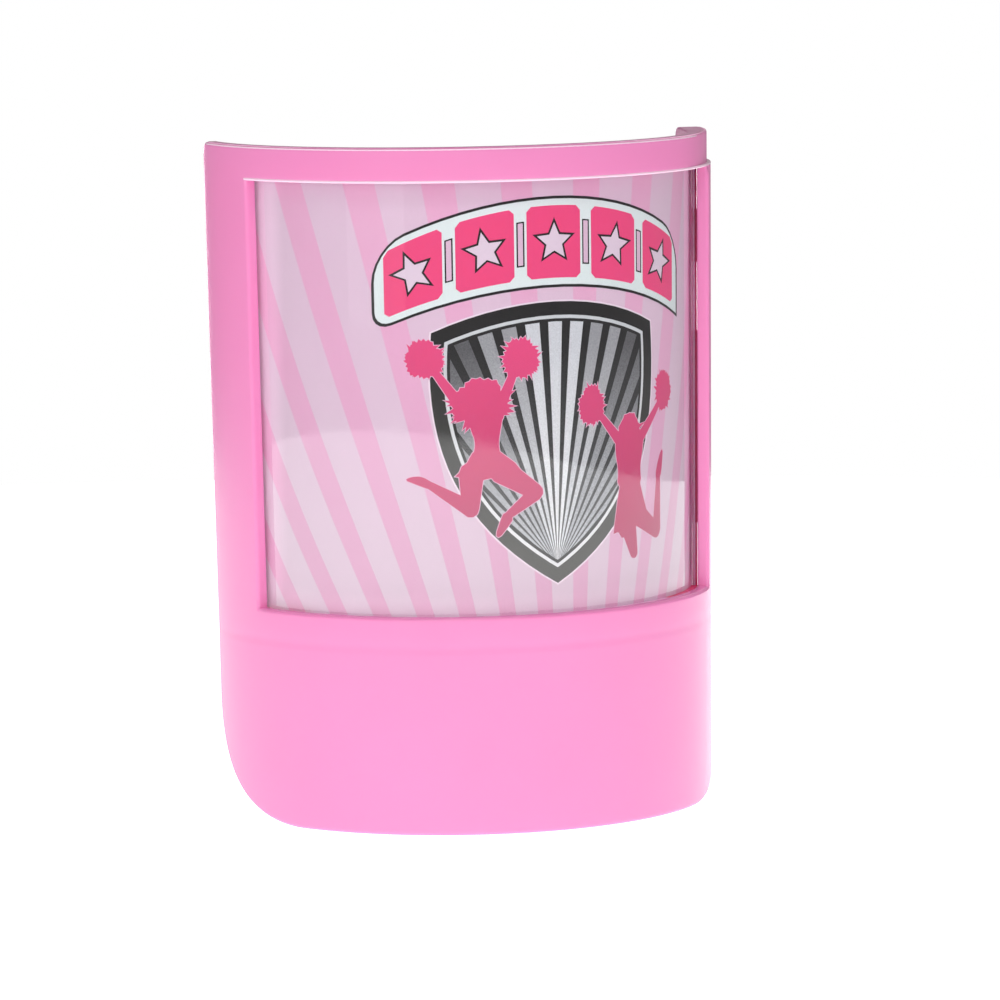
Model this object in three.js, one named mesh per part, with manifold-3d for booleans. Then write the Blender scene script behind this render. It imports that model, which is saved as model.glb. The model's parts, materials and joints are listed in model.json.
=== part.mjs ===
// Plug-in night light with a curved picture shade.
// Millimetres, +Z up. The origin is the centre of the plug on the wall face:
// the wall is the plane y = 0, the blades point along +Y and the shade faces -Y.

import * as THREE from 'three';
import { mergeVertices } from 'three/addons/utils/BufferGeometryUtils.js';
import Module from 'manifold-3d';

const wasm = await Module();
wasm.setup();

// ---------- driving dimensions ----------

const GAP = 0.3;                    // clearance between neighbouring pieces
const ARC_STEP = 5;                 // degrees of turn in one facet of the shade

// Shade: nearly half a cylinder, a little narrower at the foot
const SHADE_HEIGHT = 102;
const SHADE_BOTTOM = -22;
const SHADE_TOP = SHADE_BOTTOM + SHADE_HEIGHT;
const RADIUS_TOP = 39.2;
const RADIUS_BOTTOM = 38.1;
const SHADE_AXIS_Y = -6;
const SHADE_END = 88.7;
const SHADE_WALL = 1.8;
const LUG_DEPTH = 4.3;
const LUG_ANGLE = 58;
const LUG_HEIGHT = 1.8;
const FOOT_CORNER_WIDTH = 24;
const FOOT_CORNER_HEIGHT = 18;
const FOOT_CORNER_POWER = 2;
const TOP_CORNER = 1.7;

// Window and what stands behind it
const WINDOW_HALF_ANGLE = 66.2;
const WINDOW_BOTTOM = SHADE_BOTTOM + 32.6;
const WINDOW_TOP = SHADE_TOP - 5.2;
const PANE_HALF_ANGLE = 69.5;
const PANE_OVERLAP = 2.6;
const LENS_THICKNESS = 0.8;
const INSERT_THICKNESS = 0.35;
const LENS_GAP = 0.75;
const CHEEK_ANGLE = 70.4;
const CHEEK_WIDTH_ANGLE = 2.4;
const CHEEK_DEPTH = 6.2;
const CHEEK_GAP = 0.75;
const CHEEK_RIBS = [[20, 49.5], [60, 68]];
const RETAINER_ANGLE = 67.2;
const RETAINER_WIDTH_ANGLE = 4.6;
const RETAINER_THICKNESS = 1.5;

// Base housing
const BASE_WIDTH = 44;
const BASE_HEIGHT = 30;
const BASE_DEPTH = 32;
const BASE_SPLIT = 12;
const BASE_CORNER = 4;
const BASE_WALL = 1.6;
const SOCKET_AXIS_Y = -21.5;

// Shade bracket and the rails it slides in
const TONGUE_HALF_WIDTH = 8.5;
const TONGUE_THICKNESS = 2;
const NECK_HALF_WIDTH = 5;
const RAIL_WIDTH = 2.8;
const RAIL_LIP = 1.8;
const RAIL_BOTTOM = -12;
const RAIL_TOP = 9;
const FLANGE_HALF_ANGLE = 22;
const FLANGE_BOTTOM = -15;
const FLANGE_TOP = 4;
const FLANGE_THICKNESS = 1.8;
const WEB_THICKNESS = 2.6;

// Plug
const BLADE_PITCH = 12.7;
const BLADE_WIDTH = 6.35;
const BLADE_THICKNESS = 1.5;
const BLADE_REACH = 17;
const BLADE_TAIL = -10.2;
const PUCK_RADIUS = 11;
const PUCK_FLANGE_RADIUS = 12.8;
const PUCK_HUB_RADIUS = 9;
const REAR_WALL = 2;
const PUCK_FLANGE_BACK = -4.3;
const PUCK_HUB_BACK = -9;
const RETAINER_EAR_X = 15.6;
const SMALL_SCREW_RADIUS = 1;
const HOUSING_SCREW_X = 17.6;
const HOUSING_SCREW_Z = 10.6;
const BOSS_RADIUS = 2.9;

// Lamp socket and lamp
const SOCKET_RADIUS = 8;
const SOCKET_BORE = 6.8;
const SOCKET_FLOOR = -7;
const SOCKET_RIM = 17.4;
const SHELL_RADIUS = 6.05;
const THREAD_PITCH = 2.54;
const CAP_RADIUS = 5.55;
const CAP_BOTTOM = 1.2;
const CAP_TOP = 16.2;
const LAMP_TOP = 55;
const LAMP_MAX_RADIUS = 11;
const GLASS = 0.6;

// Switch
const SWITCH_Y = -21.5;
const ROCKER_LENGTH = 10;
const ROCKER_WIDTH = 5.4;
const ROCKER_TILT = 9;

// ---------- solids ----------

const rad = THREE.MathUtils.degToRad;

function solid(geometry) {
  const bare = geometry.clone();
  bare.deleteAttribute('normal');
  bare.deleteAttribute('uv');
  const merged = mergeVertices(bare, 1e-4);
  return new wasm.Manifold(new wasm.Mesh({
    numProp: 3,
    vertProperties: new Float32Array(merged.attributes.position.array),
    triVerts: new Uint32Array(merged.index.array),
  }));
}

function geometryOf(manifold) {
  const mesh = manifold.getMesh();
  const geometry = new THREE.BufferGeometry();
  geometry.setAttribute('position', new THREE.BufferAttribute(mesh.vertProperties, 3));
  geometry.setIndex(new THREE.BufferAttribute(mesh.triVerts, 1));
  return geometry;
}

function block(x0, x1, y0, y1, z0, z1) {
  const box = new THREE.BoxGeometry(x1 - x0, y1 - y0, z1 - z0);
  box.translate((x0 + x1) / 2, (y0 + y1) / 2, (z0 + z1) / 2);
  return solid(box);
}

// Rod along Y from y0 to y1
function rodY(radius, y0, y1, x = 0, z = 0, sides = 32) {
  const rod = new THREE.CylinderGeometry(radius, radius, y1 - y0, sides);
  rod.translate(x, (y0 + y1) / 2, z);
  return solid(rod);
}

// Rod along Z from z0 to z1
function rodZ(radius, z0, z1, x = 0, y = 0, sides = 32) {
  const rod = new THREE.CylinderGeometry(radius, radius, z1 - z0, sides);
  rod.rotateX(Math.PI / 2);
  rod.translate(x, y, (z0 + z1) / 2);
  return solid(rod);
}

// Lathe about the vertical line through (0, y); the profile is a list of [radius, z]
function turnedZ(profile, y, sides = 32) {
  const points = profile.map(([radius, z]) => new THREE.Vector2(radius, z));
  const lathe = new THREE.LatheGeometry(points, sides);
  lathe.rotateX(Math.PI / 2);
  lathe.translate(0, y, 0);
  return lathe;
}

// Outline with rounded corners in X-Z, extruded along Y from y0 to y1
function roundedBlock(width, height, corner, y0, y1) {
  const w = width / 2;
  const h = height / 2;
  const shape = new THREE.Shape();
  shape.moveTo(-w + corner, -h);
  shape.lineTo(w - corner, -h);
  shape.absarc(w - corner, -h + corner, corner, -Math.PI / 2, 0, false);
  shape.lineTo(w, h - corner);
  shape.absarc(w - corner, h - corner, corner, 0, Math.PI / 2, false);
  shape.lineTo(-w + corner, h);
  shape.absarc(-w + corner, h - corner, corner, Math.PI / 2, Math.PI, false);
  shape.lineTo(-w, -h + corner);
  shape.absarc(-w + corner, -h + corner, corner, Math.PI, 1.5 * Math.PI, false);
  const body = new THREE.ExtrudeGeometry(shape, { depth: y1 - y0, bevelEnabled: false, curveSegments: 6 });
  body.rotateX(Math.PI / 2);
  body.translate(0, y1, 0);
  return solid(body);
}

// ---------- the shade's curve ----------

function shadeRadius(z) {
  const share = (z - SHADE_BOTTOM) / SHADE_HEIGHT;
  return RADIUS_BOTTOM + (RADIUS_TOP - RADIUS_BOTTOM) * share;
}

// Angle runs from the front, seen from above
function onShade(angle, inset, z) {
  const reach = shadeRadius(z) - inset;
  return [reach * Math.sin(rad(angle)), SHADE_AXIS_Y - reach * Math.cos(rad(angle)), z];
}

// Height lost at a rounded corner, at a given arc length from the end of the shade
function cornerRise(fromEnd, width, height, power) {
  const share = THREE.MathUtils.clamp(1 - fromEnd / width, 0, 1);
  return height * (1 - (1 - share ** power) ** (1 / power));
}

function footEdge(angle) {
  const fromEnd = rad(SHADE_END - Math.abs(angle)) * RADIUS_BOTTOM;
  return SHADE_BOTTOM + cornerRise(fromEnd, FOOT_CORNER_WIDTH, FOOT_CORNER_HEIGHT, FOOT_CORNER_POWER);
}

function headEdge(angle) {
  const fromEnd = rad(SHADE_END - Math.abs(angle)) * RADIUS_TOP;
  return SHADE_TOP - cornerRise(fromEnd, TOP_CORNER, TOP_CORNER, 2);
}

// A strip that follows the shade: a section from inset to inset and from one height to another,
// swept between two angles. A height is a number or a function of the angle.
function shadeStrip(insets, heights, angles, step = ARC_STEP) {
  const section = new THREE.Shape([
    new THREE.Vector2(0, 0), new THREE.Vector2(1, 0), new THREE.Vector2(1, 1), new THREE.Vector2(0, 1),
  ]);
  const [start, end] = angles;
  const steps = Math.max(1, Math.round((end - start) / step));
  const strip = new THREE.ExtrudeGeometry(section, { depth: end - start, steps, bevelEnabled: false });
  const position = strip.attributes.position;
  for (let i = 0; i < position.count; i += 1) {
    const angle = start + position.getZ(i);
    const [low, high] = heights.map((height) => (typeof height === 'function' ? height(angle) : height));
    const inset = THREE.MathUtils.lerp(insets[0], insets[1], position.getX(i));
    const z = THREE.MathUtils.lerp(low, high, position.getY(i));
    position.setXYZ(i, ...onShade(angle, inset, z));
  }
  return solid(strip);
}

function mirroredAngles(side, near, far) {
  return side < 0 ? [-far, -near] : [near, far];
}

// ---------- shade pieces ----------

const WHOLE_ARC = [-SHADE_END, SHADE_END];

function shadeFrame() {
  const wall = shadeStrip([0, SHADE_WALL], [footEdge, headEdge], WHOLE_ARC, ARC_STEP / 2);
  const lugFoot = SHADE_TOP - LUG_HEIGHT - TOP_CORNER / 2;
  const lug = shadeStrip(
    [SHADE_WALL - GAP, LUG_DEPTH], [lugFoot, headEdge], [LUG_ANGLE, SHADE_END], ARC_STEP / 2,
  );
  const window = shadeStrip(
    [-1, SHADE_WALL + 1], [WINDOW_BOTTOM, WINDOW_TOP], [-WINDOW_HALF_ANGLE, WINDOW_HALF_ANGLE],
  );
  let frame = wall.add(lug).subtract(window);
  for (const side of [-1, 1]) {
    const angles = mirroredAngles(side, CHEEK_ANGLE, CHEEK_ANGLE + CHEEK_WIDTH_ANGLE);
    const cheek = [WINDOW_BOTTOM - PANE_OVERLAP, lugFoot + GAP];
    frame = frame.add(shadeStrip([SHADE_WALL + CHEEK_GAP, CHEEK_DEPTH], cheek, angles));
    for (const rib of CHEEK_RIBS) {
      frame = frame.add(shadeStrip([SHADE_WALL - GAP, SHADE_WALL + CHEEK_GAP + GAP], rib, angles));
    }
  }
  return geometryOf(frame);
}

const LENS_INSET = SHADE_WALL + LENS_GAP;
const INSERT_INSET = LENS_INSET + LENS_THICKNESS + GAP;
const RETAINER_INSET = INSERT_INSET + INSERT_THICKNESS + GAP;

function pane(inset, thickness, overlap) {
  return geometryOf(shadeStrip(
    [inset, inset + thickness],
    [WINDOW_BOTTOM - overlap, WINDOW_TOP + overlap - GAP],
    [-PANE_HALF_ANGLE, PANE_HALF_ANGLE],
  ));
}

function windowLens() {
  return pane(LENS_INSET, LENS_THICKNESS, PANE_OVERLAP);
}

function pictureInsert() {
  return pane(INSERT_INSET, INSERT_THICKNESS, PANE_OVERLAP - 0.4);
}

function insertRetainer(side) {
  const half = RETAINER_WIDTH_ANGLE / 2;
  return geometryOf(shadeStrip(
    [RETAINER_INSET, RETAINER_INSET + RETAINER_THICKNESS],
    [WINDOW_BOTTOM - PANE_OVERLAP, WINDOW_TOP + PANE_OVERLAP - GAP],
    mirroredAngles(side, RETAINER_ANGLE - half, RETAINER_ANGLE + half),
  ));
}

function shadeBracket() {
  const outer = SHADE_WALL + GAP;
  const flange = shadeStrip(
    [outer, outer + FLANGE_THICKNESS], [FLANGE_BOTTOM, FLANGE_TOP], [-FLANGE_HALF_ANGLE, FLANGE_HALF_ANGLE],
  );
  const tongueBack = -BASE_DEPTH - GAP;
  const tongueFront = tongueBack - TONGUE_THICKNESS;
  const tongue = block(
    -TONGUE_HALF_WIDTH, TONGUE_HALF_WIDTH, tongueFront, tongueBack, RAIL_BOTTOM + 1, RAIL_TOP,
  );
  const webFront = SHADE_AXIS_Y - shadeRadius(FLANGE_BOTTOM) + outer + FLANGE_THICKNESS / 2;
  const neck = block(
    -NECK_HALF_WIDTH, NECK_HALF_WIDTH, webFront, tongueFront + 1, FLANGE_BOTTOM + 4, FLANGE_TOP,
  );
  const webHalf = NECK_HALF_WIDTH + WEB_THICKNESS;
  const webBack = tongueFront - RAIL_LIP - 1;
  const web = block(-webHalf, webHalf, webFront, webBack, -WEB_THICKNESS, 0);
  return geometryOf(flange.add(tongue).add(neck).add(web));
}

// ---------- base housing ----------

const SCREW_CORNERS = [[1, 1], [-1, -1]];

function baseRearHousing() {
  const outer = roundedBlock(BASE_WIDTH, BASE_HEIGHT, BASE_CORNER, -BASE_SPLIT, 0);
  const hollow = roundedBlock(
    BASE_WIDTH - 2 * BASE_WALL, BASE_HEIGHT - 2 * BASE_WALL, BASE_CORNER - BASE_WALL,
    -BASE_SPLIT - 1, -REAR_WALL,
  );
  let housing = outer.subtract(hollow);
  housing = housing.subtract(rodY(PUCK_RADIUS + GAP, -REAR_WALL - 1, 1));
  for (const side of [-1, 1]) {
    const x = side * RETAINER_EAR_X;
    housing = housing.add(rodY(2.3, PUCK_FLANGE_BACK - 0.9, -REAR_WALL + 0.5, x));
    housing = housing.subtract(rodY(SMALL_SCREW_RADIUS + GAP, -8, -0.8, x));
  }
  for (const [sx, sz] of SCREW_CORNERS) {
    const x = sx * HOUSING_SCREW_X;
    const z = sz * HOUSING_SCREW_Z;
    housing = housing.add(rodY(BOSS_RADIUS, -BASE_SPLIT, -REAR_WALL + 0.5, x, z));
    housing = housing.subtract(rodY(SMALL_SCREW_RADIUS + GAP, -BASE_SPLIT - 1, 1, x, z));
    housing = housing.subtract(rodY(2.1 + GAP, -2.2, 1, x, z));
  }
  return geometryOf(housing);
}

function frontRails() {
  const y0 = -BASE_DEPTH - TONGUE_THICKNESS - 2 * GAP - RAIL_LIP;
  const lipBack = y0 + RAIL_LIP;
  const inner = TONGUE_HALF_WIDTH + GAP;
  const outer = inner + RAIL_WIDTH;
  const lipInner = NECK_HALF_WIDTH + GAP;
  let rails = block(-outer, outer, y0, -BASE_DEPTH + 0.5, RAIL_BOTTOM - 2, RAIL_BOTTOM + 1 - GAP);
  for (const side of [-1, 1]) {
    const [a, b] = [side * inner, side * outer].sort((p, q) => p - q);
    const [c, d] = [side * lipInner, side * outer].sort((p, q) => p - q);
    rails = rails.add(block(a, b, y0, -BASE_DEPTH + 0.5, RAIL_BOTTOM - 2, RAIL_TOP));
    rails = rails.add(block(c, d, y0, lipBack, RAIL_BOTTOM - 2, RAIL_TOP));
  }
  return rails.subtract(block(-lipInner, lipInner, y0 - 1, lipBack, RAIL_BOTTOM - 3, RAIL_TOP + 1));
}

function baseFrontHousing() {
  const back = -BASE_SPLIT - GAP;
  const outer = roundedBlock(BASE_WIDTH, BASE_HEIGHT, BASE_CORNER, -BASE_DEPTH, back);
  const hollow = roundedBlock(
    BASE_WIDTH - 2 * BASE_WALL, BASE_HEIGHT - 2 * BASE_WALL, BASE_CORNER - BASE_WALL,
    -BASE_DEPTH + BASE_WALL, back + 1,
  );
  let housing = outer.subtract(hollow).add(frontRails());
  housing = housing.subtract(rodZ(SOCKET_RADIUS + GAP, BASE_HEIGHT / 2 - 3, BASE_HEIGHT / 2 + 1, 0, SOCKET_AXIS_Y));
  const slotY = ROCKER_WIDTH / 2 + GAP;
  const slotZ = ROCKER_LENGTH / 2 + GAP;
  housing = housing.subtract(block(
    BASE_WIDTH / 2 - 3, BASE_WIDTH / 2 + 1, SWITCH_Y - slotY, SWITCH_Y + slotY, -slotZ, slotZ,
  ));
  for (const [sx, sz] of SCREW_CORNERS) {
    const x = sx * HOUSING_SCREW_X;
    const z = sz * HOUSING_SCREW_Z;
    housing = housing.add(rodY(BOSS_RADIUS, -BASE_DEPTH + BASE_WALL - 0.5, back, x, z));
    housing = housing.subtract(rodY(SMALL_SCREW_RADIUS + GAP, -25.5, back + 1, x, z));
  }
  return geometryOf(housing);
}

// Pan-head screw along Y, head at the back and a cross recess in it
function screw(x, z, headBack, headRadius, headHeight, length) {
  const head = rodY(headRadius, headBack - headHeight, headBack, x, z, 24);
  const shank = rodY(SMALL_SCREW_RADIUS, headBack - length, headBack - headHeight + 0.1, x, z, 16);
  const arm = headRadius * 0.62;
  const half = headRadius * 0.14;
  const depth = headHeight * 0.55;
  return geometryOf(head.add(shank)
    .subtract(block(x - arm, x + arm, headBack - depth, headBack + 1, z - half, z + half))
    .subtract(block(x - half, x + half, headBack - depth, headBack + 1, z - arm, z + arm)));
}

function housingScrew([sx, sz]) {
  return screw(sx * HOUSING_SCREW_X, sz * HOUSING_SCREW_Z, -0.5, 2.1, 1.4, 24);
}

// ---------- swivelling plug ----------

function plugPuck() {
  const body = rodY(PUCK_RADIUS, -REAR_WALL - GAP - 0.1, 0, 0, 0, 36);
  const flange = rodY(PUCK_FLANGE_RADIUS, PUCK_FLANGE_BACK, -REAR_WALL - GAP, 0, 0, 36);
  const hub = rodY(PUCK_HUB_RADIUS, PUCK_HUB_BACK, PUCK_FLANGE_BACK + 0.1, 0, 0, 36);
  let puck = body.add(flange).add(hub);
  for (const side of [-1, 1]) {
    const x = side * BLADE_PITCH / 2;
    const halfThickness = BLADE_THICKNESS / 2 + GAP;
    const halfWidth = BLADE_WIDTH / 2 + GAP;
    puck = puck.subtract(block(x - halfThickness, x + halfThickness, PUCK_HUB_BACK - 1, 1, -halfWidth, halfWidth));
  }
  return geometryOf(puck);
}

// Flat blade with a tapered tip and a round hole near it
function plugBlade(side) {
  const half = BLADE_WIDTH / 2;
  const taper = 1.6;
  const shape = new THREE.Shape();
  shape.moveTo(BLADE_TAIL, -half);
  shape.lineTo(BLADE_REACH - taper, -half);
  shape.lineTo(BLADE_REACH, -half + taper * 0.7);
  shape.lineTo(BLADE_REACH, half - taper * 0.7);
  shape.lineTo(BLADE_REACH - taper, half);
  shape.lineTo(BLADE_TAIL, half);
  const hole = new THREE.Path();
  hole.absarc(BLADE_REACH - 4.6, 0, 1.55, 0, 2 * Math.PI, true);
  shape.holes.push(hole);
  const blade = new THREE.ExtrudeGeometry(shape, {
    depth: BLADE_THICKNESS, bevelEnabled: false, curveSegments: 10,
  });
  blade.translate(0, 0, -BLADE_THICKNESS / 2);
  blade.rotateY(Math.PI / 2);
  blade.rotateX(Math.PI / 2);
  blade.translate(side * BLADE_PITCH / 2, 0, 0);
  return blade;
}

function ring(inner, outer, y0, y1) {
  return geometryOf(rodY(outer, y0, y1, 0, 0, 32).subtract(rodY(inner, y0 - 1, y1 + 1, 0, 0, 32)));
}

function swivelWasher() {
  return ring(PUCK_HUB_RADIUS + 0.4, PUCK_FLANGE_RADIUS - 0.2, PUCK_FLANGE_BACK - 1.1, PUCK_FLANGE_BACK - GAP);
}

const RETAINER_FRONT = PUCK_FLANGE_BACK - 1.4;
const RETAINER_BACK = RETAINER_FRONT - 1.5;

function swivelRetainer() {
  let plate = rodY(12.6, RETAINER_BACK, RETAINER_FRONT, 0, 0, 32);
  plate = plate.add(block(-18.4, 18.4, RETAINER_BACK, RETAINER_FRONT, -4.5, 4.5));
  plate = plate.subtract(rodY(PUCK_HUB_RADIUS + 0.4, RETAINER_BACK - 1, RETAINER_FRONT + 1, 0, 0, 32));
  for (const side of [-1, 1]) {
    const x = side * RETAINER_EAR_X;
    plate = plate.subtract(rodY(SMALL_SCREW_RADIUS + GAP, RETAINER_BACK - 1, RETAINER_FRONT + 1, x));
  }
  return geometryOf(plate);
}

function retainerScrew(side) {
  const x = side * RETAINER_EAR_X;
  const headTop = RETAINER_BACK - GAP;
  const head = rodY(1.9, headTop - 1.2, headTop, x, 0, 20);
  const shank = rodY(SMALL_SCREW_RADIUS, headTop - 0.1, -1.2, x, 0, 16);
  const slot = block(x - 1.3, x + 1.3, headTop - 2, headTop - 0.7, -0.28, 0.28);
  return geometryOf(head.add(shank).subtract(slot));
}

// Arc of brass that a blade's tail rubs on through the swivel's quarter turn
function contactLeaf(startAngle) {
  const shape = new THREE.Shape();
  const start = rad(startAngle);
  const end = rad(startAngle + 118);
  shape.absarc(0, 0, 8.4, start, end, false);
  shape.absarc(0, 0, 4.4, end, start, true);
  const leaf = new THREE.ExtrudeGeometry(shape, { depth: 0.5, bevelEnabled: false, curveSegments: 14 });
  leaf.rotateX(Math.PI / 2);
  leaf.translate(0, BLADE_TAIL - GAP, 0);
  return leaf;
}

// ---------- lamp socket ----------

function lampSocket() {
  return turnedZ([
    [0, SOCKET_FLOOR], [SOCKET_RADIUS, SOCKET_FLOOR], [SOCKET_RADIUS, BASE_HEIGHT / 2 + GAP],
    [SOCKET_RADIUS + 1.5, BASE_HEIGHT / 2 + GAP], [SOCKET_RADIUS + 1.5, SOCKET_RIM - 0.6],
    [SOCKET_RADIUS + 0.9, SOCKET_RIM], [SOCKET_BORE, SOCKET_RIM], [SOCKET_BORE, SOCKET_FLOOR + 2],
    [0, SOCKET_FLOOR + 2],
  ], SOCKET_AXIS_Y, 28);
}

// Rolled thread: the radius swings once for each pitch
function rolledProfile(radius, swing, z0, z1) {
  const count = Math.round(2 * (z1 - z0) / THREAD_PITCH);
  const points = [];
  for (let i = 0; i <= count; i += 1) {
    const z = z0 + (z1 - z0) * i / count;
    const phase = 2 * Math.PI * (z - z0) / THREAD_PITCH;
    points.push([radius + swing * Math.cos(phase), z]);
  }
  return points;
}

function socketShell() {
  const inside = rolledProfile(SHELL_RADIUS, 0.1, -1, 13.5).reverse();
  const outside = rolledProfile(SHELL_RADIUS + 0.35, 0.1, -1, 13.5);
  return turnedZ([...outside, ...inside, outside[0]], SOCKET_AXIS_Y, 24);
}

function centreContact() {
  const y = SOCKET_AXIS_Y;
  const foot = block(-3, 3, y - 2.2, y + 2.2, SOCKET_FLOOR + 2 + GAP, SOCKET_FLOOR + 2.8);
  const post = block(-0.5, 0.5, y - 1.4, y + 1.4, SOCKET_FLOOR + 2.7, -2.4);
  const tip = block(-2, 2, y - 1.4, y + 1.4, -2.8, -2.2);
  return geometryOf(foot.add(post).add(tip));
}

// ---------- lamp ----------

function lampCap() {
  const outside = rolledProfile(CAP_RADIUS - 0.15, 0.15, CAP_BOTTOM, CAP_TOP);
  const inner = CAP_RADIUS - 0.7;
  return turnedZ([...outside, [inner, CAP_TOP], [inner, CAP_BOTTOM], outside[0]], SOCKET_AXIS_Y, 24);
}

function lampInsulator() {
  return turnedZ([
    [0, -1], [2.4, -1], [CAP_RADIUS - 0.7, CAP_BOTTOM - GAP], [CAP_RADIUS - 1.2, CAP_BOTTOM + 0.4], [0, CAP_BOTTOM + 0.4],
  ], SOCKET_AXIS_Y, 24);
}

function lampButton() {
  return turnedZ([[0, -2], [1.2, -1.9], [1.9, -1.5], [1.9, -1.3], [0, -1.3]], SOCKET_AXIS_Y, 20);
}

// Candle-shaped envelope: a neck, a belly and a blunt tip
function envelopeRadius(share) {
  const neck = 4.4;
  const belly = Math.sin(Math.PI * Math.min(1, share / 0.42) / 2);
  if (share < 0.42) return neck + (LAMP_MAX_RADIUS - neck) * belly * belly;
  const fall = (share - 0.42) / 0.58;
  return LAMP_MAX_RADIUS * Math.sqrt(Math.max(0, 1 - fall ** 2.1));
}

function lampGlass() {
  const neckBottom = 4;
  const shoulder = CAP_TOP + 0.6;
  const count = 12;
  const outside = [];
  const inside = [];
  for (let i = 0; i <= count; i += 1) {
    const share = 1 - (1 - i / count) ** 1.5;
    const radius = envelopeRadius(share);
    outside.push([radius, shoulder + (LAMP_TOP - shoulder) * share]);
    inside.push([Math.max(0, radius - GLASS), shoulder + (LAMP_TOP - GLASS - shoulder) * share]);
  }
  outside[count][0] = 0;
  inside[count][0] = 0;
  const profile = [...inside.reverse(), [3.8, neckBottom], [4.4, neckBottom], ...outside];
  return turnedZ(profile, SOCKET_AXIS_Y, 24);
}

function lampStem() {
  return turnedZ([
    [0, 5], [3.3, 5], [2.2, 12], [1.3, 20], [1.1, 27], [0, 27.4],
  ], SOCKET_AXIS_Y, 16);
}

const POST_SPREAD = 5.4;
const POST_TOP = 37;

function rodBetween(from, to, radius, sides = 8) {
  const path = new THREE.LineCurve3(new THREE.Vector3(...from), new THREE.Vector3(...to));
  const section = new THREE.Shape();
  section.absarc(0, 0, radius, 0, 2 * Math.PI, false);
  return new THREE.ExtrudeGeometry(section, {
    extrudePath: path, steps: 1, bevelEnabled: false, curveSegments: sides / 2,
  });
}

function filamentPost(side) {
  const from = [side * 1.6, SOCKET_AXIS_Y, 24];
  const to = [side * POST_SPREAD, SOCKET_AXIS_Y, POST_TOP];
  return rodBetween(from, to, 0.25);
}

// The filament hangs in an arc between the two posts
function lampFilament() {
  const half = POST_SPREAD - 0.6;
  const rise = 4;
  const path = new THREE.QuadraticBezierCurve3(
    new THREE.Vector3(-half, SOCKET_AXIS_Y, POST_TOP + 0.6),
    new THREE.Vector3(0, SOCKET_AXIS_Y, POST_TOP + 0.6 + rise),
    new THREE.Vector3(half, SOCKET_AXIS_Y, POST_TOP + 0.6),
  );
  const section = new THREE.Shape();
  section.absarc(0, 0, 0.22, 0, 2 * Math.PI, false);
  return new THREE.ExtrudeGeometry(section, {
    extrudePath: path, steps: 10, bevelEnabled: false, curveSegments: 3,
  });
}

// ---------- switch ----------

const SWITCH_BODY_INNER = SOCKET_RADIUS + 1.2;
const ROCKER_PIVOT_X = BASE_WIDTH / 2 - 1.2;

function switchBody() {
  const y = SWITCH_Y;
  const outerX = BASE_WIDTH / 2 - BASE_WALL - GAP;
  const body = block(SWITCH_BODY_INNER, outerX, y - 4.6, y + 4.6, -7.5, 7.5);
  const slotY = ROCKER_WIDTH / 2 + GAP;
  const slotZ = ROCKER_LENGTH / 2 + GAP;
  const well = block(outerX - 5.4, outerX + 1, y - slotY, y + slotY, -slotZ, slotZ);
  return geometryOf(body.subtract(well));
}

// Rocker with a shallow V face, drawn in its off position
function switchRocker() {
  const half = ROCKER_LENGTH / 2 - 0.25;
  const shape = new THREE.Shape();
  shape.moveTo(-1.6, -half * 0.82);
  shape.lineTo(0.7, -half);
  shape.lineTo(1.8, -half + 0.3);
  shape.lineTo(1.15, 0);
  shape.lineTo(1.8, half - 0.3);
  shape.lineTo(0.7, half);
  shape.lineTo(-1.6, half * 0.82);
  shape.lineTo(-2.8, 0);
  const rocker = new THREE.ExtrudeGeometry(shape, { depth: ROCKER_WIDTH, bevelEnabled: false });
  rocker.translate(0, 0, -ROCKER_WIDTH / 2);
  rocker.rotateX(Math.PI / 2);
  rocker.rotateY(-rad(ROCKER_TILT));
  rocker.translate(ROCKER_PIVOT_X, SWITCH_Y, 0);
  return rocker;
}

// Flat brass straps that join the plug's leaves to the switch and the socket
function lineStrap() {
  const y0 = BLADE_TAIL - GAP - 0.5 - GAP;
  const run = block(4, 18, y0 - 0.5, y0, 3, 5);
  const drop = block(17.5, 18, SWITCH_Y + 4.6 + GAP, y0, 3, 5);
  return geometryOf(run.add(drop));
}

function neutralStrap() {
  const y0 = BLADE_TAIL - GAP - 0.5 - GAP;
  const run = block(-12.5, -4, y0 - 0.5, y0, -8.9, -6.9);
  const side = block(-12.5, -12, SOCKET_AXIS_Y - 1, y0, -8.9, -6.9);
  const riser = block(-12.5, -12, SOCKET_AXIS_Y - 1, SOCKET_AXIS_Y + 1, -8.9, 2);
  const foot = block(-12.5, -8.4, SOCKET_AXIS_Y - 1, SOCKET_AXIS_Y + 1, 1.5, 2);
  return geometryOf(run.add(side).add(riser).add(foot));
}

// ---------- materials ----------

function plastic(color, roughness) {
  return new THREE.MeshStandardMaterial({ color, roughness, metalness: 0 });
}

function metal(color, roughness) {
  return new THREE.MeshStandardMaterial({ color, roughness, metalness: 1 });
}

const clear = (color, opacity) => new THREE.MeshStandardMaterial({
  color, roughness: 0.05, metalness: 0, transparent: true, opacity,
});

const pinkPlastic = plastic(0xf68fc6, 0.25);
const clearPlastic = clear(0xf4eef6, 0.3);
const printedFilm = plastic(0xe6c4dc, 0.4);
const whitePlastic = plastic(0xf2f0ec, 0.35);
const darkPlastic = plastic(0x2b2a2c, 0.5);
const clearGlass = clear(0xffffff, 0.3);
const brass = metal(0xc9a24b, 0.3);
const nickel = metal(0xc8c8c6, 0.25);
const steel = metal(0xa8aaad, 0.35);

// ---------- assembly ----------

const nightLight = new THREE.Group();

function place(name, geometry, material) {
  const mesh = new THREE.Mesh(geometry, material);
  mesh.name = name;
  nightLight.add(mesh);
}

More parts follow.
